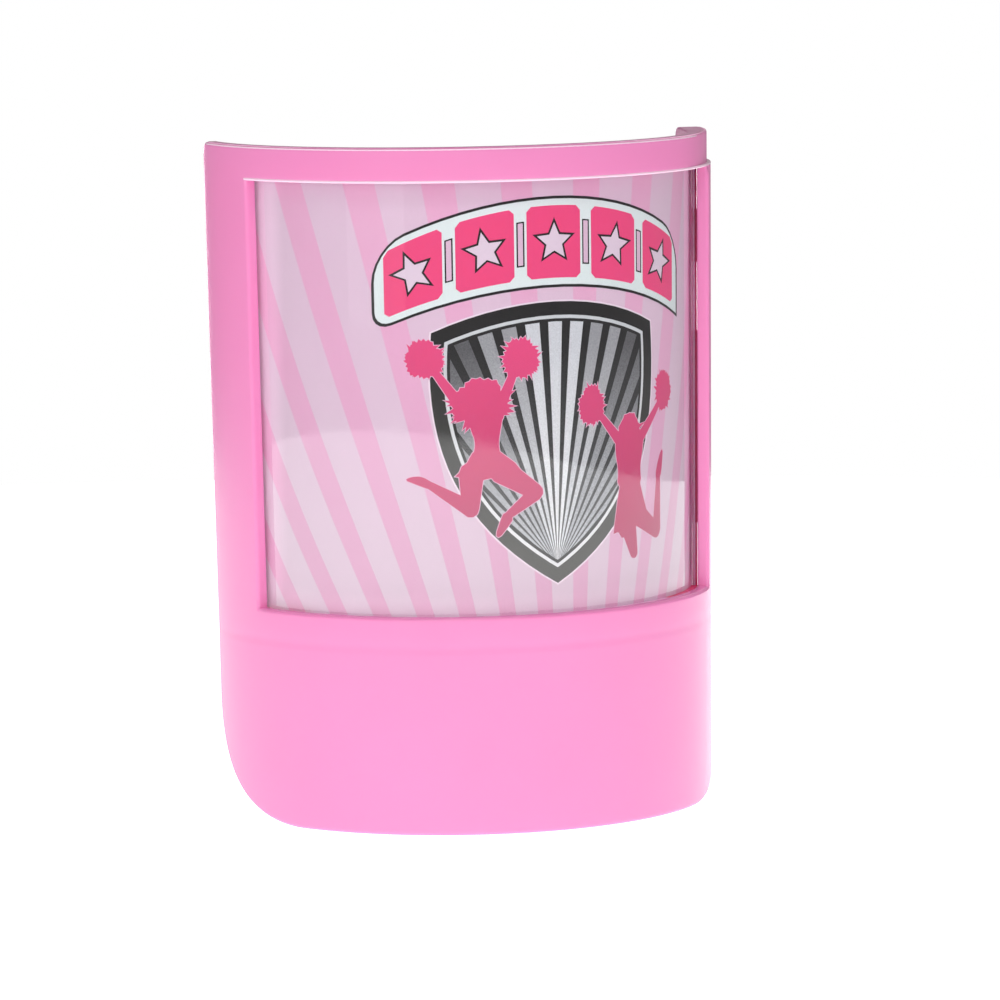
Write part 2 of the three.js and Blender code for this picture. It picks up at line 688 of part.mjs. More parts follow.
place('shade_frame', shadeFrame(), pinkPlastic);
place('window_lens', windowLens(), clearPlastic);
place('picture_insert', pictureInsert(), printedFilm);
place('shade_bracket', shadeBracket(), pinkPlastic);
place('base_rear_housing', baseRearHousing(), whitePlastic);
place('base_front_housing', baseFrontHousing(), whitePlastic);
place('plug_puck', plugPuck(), whitePlastic);
place('swivel_washer', swivelWasher(), steel);
place('swivel_retainer', swivelRetainer(), whitePlastic);
place('lamp_socket', lampSocket(), darkPlastic);
place('socket_shell', socketShell(), brass);
place('centre_contact', centreContact(), brass);
place('lamp_cap', lampCap(), nickel);
place('lamp_insulator', lampInsulator(), darkPlastic);
place('lamp_button', lampButton(), steel);
place('lamp_glass', lampGlass(), clearGlass);
place('lamp_stem', lampStem(), clearGlass);
place('lamp_filament', lampFilament(), steel);
place('switch_body', switchBody(), darkPlastic);
place('switch_rocker', switchRocker(), whitePlastic);
place('line_strap', lineStrap(), brass);
place('neutral_strap', neutralStrap(), brass);

const SIDES = [['left', -1], ['right', 1]];
for (const [word, side] of SIDES) {
  place(`insert_retainer_${word}`, insertRetainer(side), pinkPlastic);
  place(`plug_blade_${word}`, plugBlade(side), nickel);
  place(`contact_leaf_${word}`, contactLeaf(side < 0 ? 166 : -14), brass);
  place(`retainer_screw_${word}`, retainerScrew(side), steel);
  place(`filament_post_${word}`, filamentPost(side), steel);
}
SCREW_CORNERS.forEach((corner, index) => {
  place(`housing_screw_${index + 1}`, housingScrew(corner), steel);
});

export default nightLight;
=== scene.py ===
"""Looks of a plug-in night light with a curved picture shade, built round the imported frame.

Shapes are worked out in millimetres in the row frame and turned into metres as each mesh is made.
"""

import json
import math
import random

import bmesh
import bpy
from mathutils import Matrix, Vector
from mathutils.geometry import delaunay_2d_cdt


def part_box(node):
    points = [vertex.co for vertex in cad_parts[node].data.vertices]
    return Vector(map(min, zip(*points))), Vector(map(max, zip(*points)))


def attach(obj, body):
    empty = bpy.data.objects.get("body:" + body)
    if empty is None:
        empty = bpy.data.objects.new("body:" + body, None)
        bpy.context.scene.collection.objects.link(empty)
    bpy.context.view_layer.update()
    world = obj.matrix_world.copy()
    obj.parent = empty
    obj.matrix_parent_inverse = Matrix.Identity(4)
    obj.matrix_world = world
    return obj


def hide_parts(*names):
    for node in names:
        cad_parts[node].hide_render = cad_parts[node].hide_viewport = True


MM = 0.001
SIDES = (("left", -1), ("right", 1))

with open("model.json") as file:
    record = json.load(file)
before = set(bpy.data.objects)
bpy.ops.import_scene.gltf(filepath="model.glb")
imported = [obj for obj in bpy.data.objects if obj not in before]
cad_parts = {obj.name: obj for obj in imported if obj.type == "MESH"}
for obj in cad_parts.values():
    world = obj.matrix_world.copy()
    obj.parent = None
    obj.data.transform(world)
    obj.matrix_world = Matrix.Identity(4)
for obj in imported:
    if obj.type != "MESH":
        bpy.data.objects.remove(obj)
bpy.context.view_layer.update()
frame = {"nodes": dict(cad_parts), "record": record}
nodes = frame["nodes"]
record = frame["record"]
BODY_OF = {node: body for body, members in record["behaviour"]["bodies"].items() for node in members}
SLOT_OF = {part["node"]: part["material_slot"] for part in record["subparts"]}


def box_mm(node):
    low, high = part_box(node)
    return low / MM, high / MM


# ---------- the shade's curve, as in the frame ----------

shade_low, shade_high = box_mm("shade_frame")
BOTTOM = shade_low.z
TOP = shade_high.z
RADIUS_BOTTOM = 38.1
RADIUS_TOP = 39.2
AXIS_Y = -6.0
END = 88.7
WALL = 1.8
LUG_DEPTH = 4.3
LUG_HEIGHT = 1.8
FOOT_CORNER = (24.0, 18.0)
TOP_CORNER = 1.7
CHEEK_ANGLE = 70.4
CHEEK_WIDTH = 2.4
CHEEK_INSET = WALL + 0.35
CHEEK_DEPTH = 6.2
CHEEK_RIBS = ((20, 49.5), (60, 68))
RETAINER_ANGLE = 67.2
WINDOW_ANGLE = 66.2
WINDOW_BOTTOM = BOTTOM + 32.6
WINDOW_TOP = TOP - 5.2
PANE_ANGLE = 69.5
PANE_BOTTOM = WINDOW_BOTTOM - 2.6
PANE_TOP = WINDOW_TOP + 2.3
LENS_INSET = WALL + 0.75
LENS_THICKNESS = 0.4
INSERT_INSET = LENS_INSET + LENS_THICKNESS + 0.1
RETAINER_INSET = WALL + 2.5
INSERT_THICKNESS = 0.35
# the print is laid flat at this radius, and its tones blend between these two heights
PRINT_RADIUS = 35.5
BLEND_LOW = BOTTOM + 42
BLEND_HIGH = BOTTOM + 72
# how far the pane and the picture lean towards the wall at the left
LEAN = 0.6
# the distance between the points of a plate
SPACING = 1.3


def shade_radius(z):
    share = (z - BOTTOM) / (TOP - BOTTOM)
    return RADIUS_BOTTOM + (RADIUS_TOP - RADIUS_BOTTOM) * share


def on_shade(angle, inset, z):
    """A point at an angle from the front, in degrees, a depth under the skin and a height."""
    reach = shade_radius(z) - inset
    turn = math.radians(angle)
    return Vector((reach * math.sin(turn), AXIS_Y - reach * math.cos(turn), z))


def steps(start, end, count):
    """Values from start to end in a number of equal steps."""
    return [start + (end - start) * i / count for i in range(count + 1)]


def corner_curve(width, height, count):
    """A rounded corner as (distance from the end, distance from the edge), from the end inwards."""
    turns = [math.radians(turn) for turn in steps(0, 90, count)]
    return [(width * (1 - math.cos(turn)), height * (1 - math.sin(turn))) for turn in turns]


def smoothstep(low, high, value):
    share = min(1.0, max(0.0, (value - low) / (high - low)))
    return share * share * (3 - 2 * share)


# ---------- mesh helpers ----------


def linked(name, data):
    """A new object in the scene for a mesh, a light or a camera."""
    thing = bpy.data.objects.new(name, data)
    bpy.context.scene.collection.objects.link(thing)
    return thing


def mesh_object(name, points, faces, materials, face_materials=None, sharp=35):
    """An object from points in millimetres, shaded smooth except across sharp edges."""
    mesh = bpy.data.meshes.new(name)
    mesh.from_pydata([Vector(p) * MM for p in points], [], faces)
    for material in materials:
        mesh.materials.append(material)
    if face_materials:
        mesh.polygons.foreach_set("material_index", face_materials)
    mesh.polygons.foreach_set("use_smooth", [True] * len(mesh.polygons))
    mesh.set_sharp_from_angle(angle=math.radians(sharp))
    mesh.validate()
    return linked(name, mesh)


def merge_and_face_out(piece, sharp=35):
    """Joins points at the same place and turns every face outwards."""
    build = bmesh.new()
    build.from_mesh(piece.data)
    bmesh.ops.remove_doubles(build, verts=build.verts, dist=0.002 * MM)
    bmesh.ops.recalc_face_normals(build, faces=build.faces)
    build.to_mesh(piece.data)
    build.free()
    piece.data.set_sharp_from_angle(angle=math.radians(sharp))


def add_bevel(piece, width, segments=3, angle=35, clamp=True):
    bevel = piece.modifiers.new("Rounded edges", "BEVEL")
    bevel.width = width * MM
    bevel.segments = segments
    bevel.limit_method = "ANGLE"
    bevel.angle_limit = math.radians(angle)
    bevel.use_clamp_overlap = clamp
    bevel.harden_normals = True
    return bevel


def place(piece, node):
    """The piece stands for a CAD node: it rides on the node's body, and the node is hidden."""
    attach(piece, BODY_OF[node])
    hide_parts(node)


# ---------- materials ----------


def set_inputs(tree, node, inputs):
    """Sets a node's inputs to plain values, or links them to other nodes' outputs."""
    for name, value in inputs.items():
        if isinstance(value, bpy.types.NodeSocket):
            tree.links.new(value, node.inputs[name])
        else:
            node.inputs[name].default_value = value


def add_node(tree, kind, inputs=None, **settings):
    node = tree.nodes.new(f"ShaderNode{kind}")
    for name, value in settings.items():
        setattr(node, name, value)
    set_inputs(tree, node, inputs or {})
    return node


def new_material(name):
    material = bpy.data.materials.new(name)
    material.use_nodes = True
    tree = material.node_tree
    return material, tree, tree.nodes["Principled BSDF"]


def srgb(levels):
    """A colour from eight-bit display levels."""

    def linear(level):
        share = level / 255
        return share / 12.92 if share <= 0.04045 else ((share + 0.055) / 1.055) ** 2.4

    return (*[linear(level) for level in levels], 1.0)


def scaled(colour, factor):
    return (*[min(1.0, c * factor) for c in colour[:3]], 1.0)


def noise(tree, scale_mm, detail):
    """Noise in the object's own space, whose grains are about scale_mm across."""
    where = add_node(tree, "TexCoord").outputs["Object"]
    inputs = {"Vector": where, "Scale": 1 / (scale_mm * MM), "Detail": detail}
    return add_node(tree, "TexNoise", inputs).outputs["Fac"]


def ramp(tree, source, low, high, colours):
    """Maps source from low..high onto two colours."""
    node = add_node(tree, "ValToRGB", {"Fac": source})
    for element, position, colour in zip(node.color_ramp.elements, (low, high), colours):
        element.position = position
        element.color = colour
    return node.outputs["Color"]


def levels(tree, source, low, high):
    """Maps source from 0.3..0.7 onto low..high."""
    inputs = {"Value": source, "From Min": 0.3, "From Max": 0.7, "To Min": low, "To Max": high}
    return add_node(tree, "MapRange", inputs).outputs["Result"]


def bump(tree, source, height_mm):
    inputs = {"Height": source, "Strength": 1.0, "Distance": height_mm * MM}
    return add_node(tree, "Bump", inputs).outputs["Normal"]


def maths(tree, operation, first, second):
    return add_node(tree, "Math", {0: first, 1: second}, operation=operation).outputs["Value"]


def place_along(tree, axis):
    """Where a point lies along one axis of the object's own space, in metres."""
    where = add_node(tree, "TexCoord").outputs["Object"]
    return add_node(tree, "SeparateXYZ", {"Vector": where}).outputs[axis]


def moulded_plastic(name, display, roughness, glow=0.0, waviness=0.008):
    """Glossy moulded plastic: faint flow clouds in its colour, a slightly uneven gloss and skin."""
    material, tree, shader = new_material(name)
    colour = srgb(display)
    clouds = (scaled(colour, 0.985), scaled(colour, 1.012))
    set_inputs(tree, shader, {
        "Base Color": ramp(tree, noise(tree, 22, 2), 0.3, 0.7, clouds),
        "Roughness": levels(tree, noise(tree, 2.2, 2), roughness * 0.92, roughness * 1.1),
        "Normal": bump(tree, noise(tree, 5, 1), waviness),
        "IOR": 1.5,
        "Subsurface Weight": glow,
        "Subsurface Radius": (1.0, 0.45, 0.7),
        "Subsurface Scale": 1.2 * MM,
    })
    return material


def metal(name, display, roughness):
    """Drawn or plated metal with fine grain and slightly dulled patches."""
    material, tree, shader = new_material(name)
    colour = srgb(display)
    patches = (scaled(colour, 0.93), scaled(colour, 1.03))
    grain = noise(tree, 0.6, 4)
    set_inputs(tree, shader, {
        "Base Color": ramp(tree, noise(tree, 5, 3), 0.35, 0.65, patches),
        "Roughness": levels(tree, grain, roughness * 0.7, roughness * 1.5),
        "Normal": bump(tree, grain, 0.004),
        "Metallic": 1.0,
    })
    return material


def see_through(name, tint, roughness, ior):
    """Thin clear plastic or glass: light passes straight through, and the outer skin is glossy."""
    material, tree, shader = new_material(name)
    tree.nodes.remove(shader)
    fresnel = add_node(tree, "Fresnel", {"IOR": ior}).outputs["Fac"]
    outer = maths(tree, "SUBTRACT", 1.0, add_node(tree, "NewGeometry").outputs["Backfacing"])
    scuffs = levels(tree, noise(tree, 2.5, 5), roughness * 0.6, roughness * 1.6)
    mix = add_node(tree, "MixShader", {
        "Fac": maths(tree, "MULTIPLY", fresnel, outer),
        1: add_node(tree, "BsdfTransparent", {"Color": tint}).outputs["BSDF"],
        2: add_node(tree, "BsdfGlossy", {"Roughness": scuffs}).outputs["BSDF"],
    })
    set_inputs(tree, tree.nodes["Material Output"], {"Surface": mix.outputs["Shader"]})
    return material


def edge_painted_light(tree, axis, full, none):
    """Painted light: a weak glow that fades out between two places, in millimetres, along one axis."""
    inputs = {
        "Value": place_along(tree, axis),
        "From Min": full * MM,
        "From Max": none * MM,
        "To Min": 0.2,
        "To Max": 0.0,
    }
    return add_node(tree, "MapRange", inputs, interpolation_type="SMOOTHSTEP").outputs["Result"]


def ink(name, display, grain=0.03, low_display=None):
    """Printed ink on film: a fine dot grain, a blend down the sheet to a second colour, and a weak
    painted glow beside the window's left and lower edges.
    """
    material, tree, shader = new_material(name)
    dots = noise(tree, 0.22, 3)

    def dotted(colour):
        return ramp(tree, dots, 0.3, 0.7, (scaled(colour, 1 - grain), scaled(colour, 1 + grain)))

    tone = dotted(srgb(display))
    if low_display:
        height = add_node(tree, "MapRange", {
            "Value": place_along(tree, "Z"),
            "From Min": BLEND_LOW * MM,
            "From Max": BLEND_HIGH * MM,
        })
        blend = {"Factor": height.outputs["Result"], "A": dotted(srgb(low_display)), "B": tone}
        tone = add_node(tree, "Mix", blend, data_type="RGBA").outputs["Result"]
    # painted light: the window's frame shades the print at the left and at the foot, and a weak glow
    # there lifts that shade
    left_painted_light = edge_painted_light(tree, "X", -32.6, -30.8)
    foot_painted_light = edge_painted_light(tree, "Z", WINDOW_BOTTOM, WINDOW_BOTTOM + 4)
    set_inputs(tree, shader, {
        "Base Color": tone,
        "Roughness": levels(tree, dots, 0.405, 0.495),
        "Specular IOR Level": 0.3,
        "Emission Color": tone,
        "Emission Strength": maths(tree, "MAXIMUM", left_painted_light, foot_painted_light),
        "Subsurface Weight": 0.5,
        "Subsurface Radius": (1.0, 1.0, 1.0),
        "Subsurface Scale": 0.8 * MM,
    })
    return material


# the material that stands for each of the record's slots
FINISH = {
    "pink_plastic": moulded_plastic("Pink plastic", (243, 142, 196), 0.24, glow=0.12),
    "white_plastic": moulded_plastic("White plastic", (232, 231, 226), 0.38),
    "dark_plastic": moulded_plastic("Dark plastic", (38, 38, 42), 0.42, waviness=0.02),
    "clear_lens": see_through("Clear lens", (1, 1, 1, 1), 0.03, 1.75),
    "lamp_glass": see_through("Lamp glass", (0.98, 0.98, 0.97, 1), 0.02, 1.5),
    "brass": metal("Brass", (214, 176, 96), 0.28),
    "nickel": metal("Nickel plate", (205, 203, 198), 0.22),
    "steel": metal("Zinc-plated steel", (186, 188, 190), 0.33),
}
# painted shade: a darker, duller copy of the pink plastic for the rim's top face
rim_painted_shade = moulded_plastic("Rim plastic, painted shade", (176, 100, 142), 0.6)
# painted shade: a darker, redder copy of the pink plastic for the shaded gaps beside the window
deep_pink_painted_shade = moulded_plastic("Deep pink plastic, painted shade", (236, 60, 120), 0.35, glow=0.5)
# painted light: a paler copy of the pink plastic for the inner cheeks and the ledge, which lie in shade
cheek_pink_painted_light = moulded_plastic("Inner pink plastic, painted light", (250, 182, 224), 0.35, glow=0.45)
# painted highlight: a near-white pink for the narrow beads on the frame's edges
bead_painted_highlight = moulded_plastic("Pink bead, painted highlight", (255, 214, 236), 0.12)


def finish_of(node):
    return FINISH[SLOT_OF[node]]


# ---------- plates that follow the shade ----------
# A plate's outline lies flat: across is the arc from the front of the shade, up is the height.

SKIN_RADIUS = (RADIUS_BOTTOM + RADIUS_TOP) / 2
SHADE_HALF = math.radians(END) * SKIN_RADIUS


def arc_of(angle):
    return math.radians(angle) * SKIN_RADIUS


def into_material(loop):
    """At each point of a loop, the way into the material on its left, sized for mitred corners."""
    ways = []
    count = len(loop)
    for i in range(count):
        before, here, after = (Vector(loop[k % count]) for k in (i - 1, i, i + 1))
        first = (here - before).normalized()
        second = (after - here).normalized()
        way = Vector((-first.y - second.y, first.x + second.x)).normalized()
        ways.append(way / max(0.4, way.dot(Vector((-first.y, first.x)))))
    return ways


def drawn_in(loop, margin):
    """A loop moved into its material by a margin."""
    return [tuple(Vector(p) + way * margin) for p, way in zip(loop, into_material(loop))]


def inside(point, loop):
    """Whether a point is inside a loop, by counting the edges that it lies left of."""
    x, z = point
    hit = False
    x0, z0 = loop[-1]
    for x1, z1 in loop:
        if (z0 > z) != (z1 > z) and x < x0 + (z - z0) / (z1 - z0) * (x1 - x0):
            hit = not hit
        x0, z0 = x1, z1
    return hit


def middle_of(corners):
    return (sum(c.x for c in corners) / 3, sum(c.y for c in corners) / 3)


def edge_points(start, end, spacing):
    """Points from start up to but not including end."""
    a = Vector(start)
    b = Vector(end)
    count = max(1, math.ceil((b - a).length / spacing))
    return [tuple(a.lerp(b, i / count)) for i in range(count)]


def rectangle(x0, x1, z0, z1, spacing=SPACING):
    corners = [(x0, z0), (x1, z0), (x1, z1), (x0, z1)]
    loop = []
    for a, b in zip(corners, corners[1:] + corners[:1]):
        loop += edge_points(a, b, spacing)
    return loop


def ring(start, count):
    """The edges of a closed loop whose points are numbered from start."""
    return [(start + i, start + (i + 1) % count) for i in range(count)]


def filled(loops, rows):
    """Triangles between the first loop and the others, with spare points to follow the curve."""
    points = []
    edges = []
    for loop in loops:
        edges += ring(len(points), len(loop))
        points += loop
    clearance = 0.45
    kept = [drawn_in(loop, clearance) for loop in loops]
    across = int(SHADE_HALF / SPACING)
    for column in range(-across, across + 1):
        for z in rows:
            spot = (column * SPACING, z)
            if inside(spot, kept[0]) and not any(inside(spot, hole) for hole in kept[1:]):
                points.append(spot)
    flat, _, triangles, *_ = delaunay_2d_cdt([Vector(p) for p in points], edges, [], 0, 1e-5)
    chosen = []
    for triangle in triangles:
        corners = [flat[i] for i in triangle]
        centre = middle_of(corners)
        if inside(centre, loops[0]) and not any(inside(centre, hole) for hole in loops[1:]):
            chosen.append([tuple(c) for c in corners])
    return chosen


def plain_skin(angle, z):
    return 0.0


def full_depth(angle):
    return 1.0


def curved_plate(loops, insets, fillets, rows=(), skin=plain_skin, depth=full_depth):
    """Points and faces of a plate with rounded edges. The first loop is its edge, counter-clockwise,
    and the others are its openings, clockwise. skin gives extra depth of the outer face, and depth
    the share of the thickness that is kept at an angle."""
    front, back = insets
    front_fillet, back_fillet = fillets
    quarter = [math.radians(turn) for turn in steps(0, 90, 4)]
    profile = [
        (front_fillet * (1 - math.sin(turn)), front + front_fillet * (1 - math.cos(turn)))
        for turn in quarter
    ]
    profile += [
        (back_fillet * (1 - math.cos(turn)), back - back_fillet * (1 - math.sin(turn)))
        for turn in quarter
    ]
    points = []
    faces = []

    def bent(x, z, inset):
        angle = math.degrees(x / SKIN_RADIUS)
        share = max(0.0, 1 - (inset - front) / (back - front) * 2)
        kept = front + (inset - front) * depth(angle)
        return on_shade(angle, kept + skin(angle, z) * share, z)

    for loop in loops:
        ways = into_material(loop)
        start = len(points)
        count = len(loop)
        for along, inset in profile:
            points += [bent(*(Vector(p) + way * along), inset) for p, way in zip(loop, ways)]
        for k in range(len(profile) - 1):
            for i in range(count):
                a = start + k * count + i
                b = start + k * count + (i + 1) % count
                faces.append((a, b, b + count, a + count))
    for margin, inset in ((front_fillet, front), (back_fillet, back)):
        for triangle in filled([drawn_in(loop, margin) for loop in loops], rows):
            faces.append(tuple(range(len(points), len(points) + 3)))
            points += [bent(x, z, inset) for x, z in triangle]
    return points, faces


def plate_object(node, plates, materials):
    """The piece for a node, from several plates with the number of each one's material."""
    points = []
    faces = []
    face_materials = []
    for index, (plate_points, plate_faces) in plates:
        start = len(points)
        points += plate_points
        faces += [tuple(i + start for i in face) for face in plate_faces]
        face_materials += [index] * len(plate_faces)
    piece = mesh_object(f"{node}_look", points, faces, materials, face_materials)
    merge_and_face_out(piece, sharp=50)
    weighted = piece.modifiers.new("Even shading", "WEIGHTED_NORMAL")
    weighted.weight = 80
    weighted.keep_sharp = True
    place(piece, node)


# ---------- shade frame ----------

SINK_LINE = WINDOW_BOTTOM - 4.5
RIM_FOOT = TOP - LUG_HEIGHT - TOP_CORNER / 2
WALL_TOP = TOP - 0.04


def mirrored_outline(right):
    """A closed outline from its right side: the left side mirrors it, and short steps join them."""
    left = [(-x, z) for x, z in reversed(right)]
    top = edge_points(right[-1], left[0], SPACING)[1:]
    bottom = edge_points(left[-1], right[0], SPACING)[1:]
    return right + top + left + bottom


def head_corner(top):
    return [(SHADE_HALF - along, top - rise) for along, rise in corner_curve(TOP_CORNER, TOP_CORNER, 6)]


def shade_outline():
    """The shade's edge laid flat: big soft corners at the foot, small ones at the top."""
    foot = [(SHADE_HALF - along, BOTTOM + rise) for along, rise in corner_curve(*FOOT_CORNER, 24)[::-1]]
    head = head_corner(WALL_TOP)
    return mirrored_outline(foot + edge_points(foot[-1], head[0], 5)[1:] + head)


def rim_outline():
    return mirrored_outline([(SHADE_HALF, RIM_FOOT)] + head_corner(TOP))


def shade_skin(angle, z):
    """A faint sink line under the window, and a band at the top that steps back towards one end."""
    sink = 0.05 * math.exp(-(((z - SINK_LINE) / 0.6) ** 2))
    step = 0.6 * smoothstep(45, 70, angle) * smoothstep(WINDOW_TOP - 0.1, WINDOW_TOP + 0.5, z)
    return sink + step


def lug_depth(angle):
    """The rim is as deep as the wall, and thickens into a lug at one end."""
    return 0.31 + 0.69 * smoothstep(46, 80, angle)


def ledge_depth(angle):
    """The ledge reaches the picture, which lies nearer to the wall at the left."""
    return 0.8 + 0.2 * smoothstep(-60, 30, angle)


def shade_frame():
    wall_rows = [BOTTOM + 3 * i for i in range(1, 34)]
    wall_rows += [SINK_LINE + 0.5 * i for i in range(-3, 4)]
    wall_rows += [WINDOW_TOP + 0.2 * i for i in range(-1, 5)]
    window = rectangle(-arc_of(WINDOW_ANGLE), arc_of(WINDOW_ANGLE), WINDOW_BOTTOM, WINDOW_TOP)[::-1]
    wall = curved_plate([shade_outline(), window], (0, WALL), (0.55, 0.3), wall_rows, shade_skin)
    # the rim is in the darker plastic of painted shade
    rim_rows = [TOP - 1.2]
    rim = curved_plate([rim_outline()], (0.6, LUG_DEPTH), (0.01, 0.3), rim_rows, shade_skin, lug_depth)
    plates = [(0, wall), (1, rim)]
    lip = CHEEK_INSET + 0.2
    for _, side in SIDES:
        near, far = sorted((side * arc_of(CHEEK_ANGLE), side * arc_of(CHEEK_ANGLE + CHEEK_WIDTH)))
        cheek = rectangle(near, far, PANE_BOTTOM, RIM_FOOT + 0.3, 5)
        # the cheek's lip is in deep pink, painted shade, and its face in pale pink, painted light
        for index, insets in ((2, (CHEEK_INSET, lip + 0.02)), (4, (lip, CHEEK_DEPTH))):
            plates.append((index, curved_plate([cheek], insets, (0.05, 0.15))))
        # the ribs are in the deep pink of painted shade
        for low, high in CHEEK_RIBS:
            rib = rectangle(near, far, low, high, 5)
            plates.append((2, curved_plate([rib], (WALL - 0.3, CHEEK_INSET + 0.3), (0.01, 0.01))))
    # a ledge under the picture closes the gap between it and the wall; its ends are deep pink, painted
    # shade, and its middle pale pink, painted light
    for index, start, end in ((2, -PANE_ANGLE, -52), (4, -52, 46), (2, 46, PANE_ANGLE)):
        ledge = rectangle(arc_of(start), arc_of(end), WINDOW_BOTTOM - 1.6, WINDOW_BOTTOM - 0.2)
        insets = (WALL - 0.3, INSERT_INSET - 0.02)
        plates.append((index, curved_plate([ledge], insets, (0.05, 0.05), depth=ledge_depth)))
    # a narrow pale bead over the window and another along the top edge: their pale pink is a painted
    # highlight
    reach = (-arc_of(WINDOW_ANGLE) - 0.6, SHADE_HALF - 0.6)
    over_window = rectangle(*reach, WINDOW_TOP - 0.04, WINDOW_TOP + 0.38)
    plates.append((3, curved_plate([over_window], (-0.03, 0.9), (0.18, 0.01))))
    along_top = rectangle(1.9 - SHADE_HALF, arc_of(56), TOP - 0.48, TOP - 0.24)
    plates.append((3, curved_plate([along_top], (0.03, 0.5), (0.05, 0.01), skin=shade_skin)))
    materials = [finish_of("shade_frame"), rim_painted_shade, deep_pink_painted_shade, bead_painted_highlight, cheek_pink_painted_light]
    plate_object("shade_frame", plates, materials)


# ---------- window lens ----------


def leaning(angle):
    """How far the pane and the picture lean towards the wall: fully at the left, not at the right."""
    return LEAN * (1 - smoothstep(-60, 30, angle))


def window_lens():
    """The pane: a thin closed sheet that follows the shade."""
    columns = 93
    back = LENS_INSET + LENS_THICKNESS
    section = [(LENS_INSET, PANE_BOTTOM), (LENS_INSET, PANE_TOP), (back, PANE_TOP), (back, PANE_BOTTOM)]
    points = []
    for angle in steps(-PANE_ANGLE, PANE_ANGLE, columns):
        points += [on_shade(angle, inset - leaning(angle), z) for inset, z in section]
    faces = []
    for i in range(columns):
        for a in range(4):
            b = (a + 1) % 4
            faces.append((4 * i + a, 4 * i + 4 + a, 4 * i + 4 + b, 4 * i + b))
    last = 4 * columns
    faces += [(0, 1, 2, 3), (last, last + 1, last + 2, last + 3)]
    piece = mesh_object("window_lens_look", points, faces, [finish_of("window_lens")])
    merge_and_face_out(piece)
    add_bevel(piece, 0.12, segments=2)
    place(piece, "window_lens")


# ---------- picture insert ----------
# The picture is laid out flat: across is the arc from the front of the shade, up is the height
# above the shade's foot, both in millimetres.

ART_X = 6.2
RAY_SOURCE = (8.0, -34.0)
RAY_STEP = 4.95
RAY_WIDTH = 2.05
SHIELD_SOURCE = (ART_X, 39.4)
BANNER_HALF = 27.2
SHEET_LOW = WINDOW_BOTTOM - BOTTOM - 2.2
SHEET_HIGH = WINDOW_TOP - BOTTOM + 1.9
SHEET_HALF = math.radians(PANE_ANGLE + 0.6) * PRINT_RADIUS


def arc_points(start, end, count, height):
    """Points along a curve given by its height at each distance across."""
    return [(x, height(x)) for x in steps(start, end, count)]


def bezier(a, b, c, d, count):
    points = []
    for t in steps(0, 1, count):
        weights = ((1 - t) ** 3, 3 * t * (1 - t) ** 2, 3 * t * t * (1 - t), t**3)
        points.append(tuple(sum(w * p[k] for w, p in zip(weights, (a, b, c, d))) for k in (0, 1)))
    return points


def wedge(source, angle, width, near, far):
    """A ray from source at an angle from straight up, growing wider as it goes."""
    corners = []
    for reach, turn in ((near, -1), (far, -1), (far, 1), (near, 1)):
        a = math.radians(angle + turn * width / 2)
        corners.append((source[0] + reach * math.sin(a), source[1] + reach * math.cos(a)))
    return corners[::-1]


def banner_top(x, margin):
    return 94.3 - 0.0102 * x * x - margin


def banner_foot(x, margin):
    return 80.8 - 0.0086 * x * x + margin


def banner_outline(margin):
    """The arched banner: its top and foot are arcs, its ends stand square to them."""
    left = margin - BANNER_HALF
    right = BANNER_HALF - margin
    corner = 5.0 - margin
    heel = 3.0 - margin
    shoulder = corner_curve(corner, corner, 6)
    outline = [
        (left + along, banner_foot(left + along, margin) + rise)
        for along, rise in corner_curve(heel, heel, 5)
    ]
    outline += arc_points(left + heel, right, 16, lambda x: banner_foot(x, margin))[1:]
    outline += [(right - along, banner_top(right - along, margin) - rise) for along, rise in shoulder]
    outline += arc_points(right - corner, left + corner, 16, lambda x: banner_top(x, margin))[1:-1]
    outline += [
        (left + along, banner_top(left + along, margin) - rise) for along, rise in reversed(shoulder)
    ]
    return [(ART_X + x, z) for x, z in outline]


def banner_tile(start, end, margin=1.4, clip=0.7):
    """A block that follows the banner's arcs, with small clipped corners."""
    outline = arc_points(start + clip, end - clip, 5, lambda x: banner_foot(x, margin))
    outline += [(end, banner_foot(end, margin) + clip), (end, banner_top(end, margin) - clip)]
    outline += arc_points(end - clip, start + clip, 5, lambda x: banner_top(x, margin))
    outline += [(start, banner_top(start, margin) - clip), (start, banner_foot(start, margin) + clip)]
    return [(ART_X + x, z) for x, z in outline]


def star(x, z, radius, tilt):
    points = []
    for i in range(10):
        reach = radius if i % 2 == 0 else radius * 0.46
        a = math.radians(90 + tilt + 36 * i)
        points.append((x + reach * math.cos(a), z + reach * math.sin(a)))
    return points


def shield_outline():
    side = bezier((18.5, 74.6), (20.2, 57.4), (14.9, 45.4), (0, 36.8), 18)
    top = arc_points(18.5, -18.5, 14, lambda x: 78.7 - 0.0121 * x * x)
    right = list(reversed(side))
    left = [(-x, z) for x, z in side[:-1]]
    outline = right[:-1] + top + left[1:]
    return [(ART_X + x, z) for x, z in outline]


def limb(start, end, width_start, width_end):
    """A tapering limb with round ends, as an outline."""
    a = Vector(start)
    b = Vector(end)
    along = math.atan2(b.y - a.y, b.x - a.x)
    points = []
    for centre, reach, first in ((b, width_end / 2, -90), (a, width_start / 2, 90)):
        for degrees in steps(first, first + 180, 5):
            turn = along + math.radians(degrees)
            points.append((centre.x + reach * math.cos(turn), centre.y + reach * math.sin(turn)))
    return points


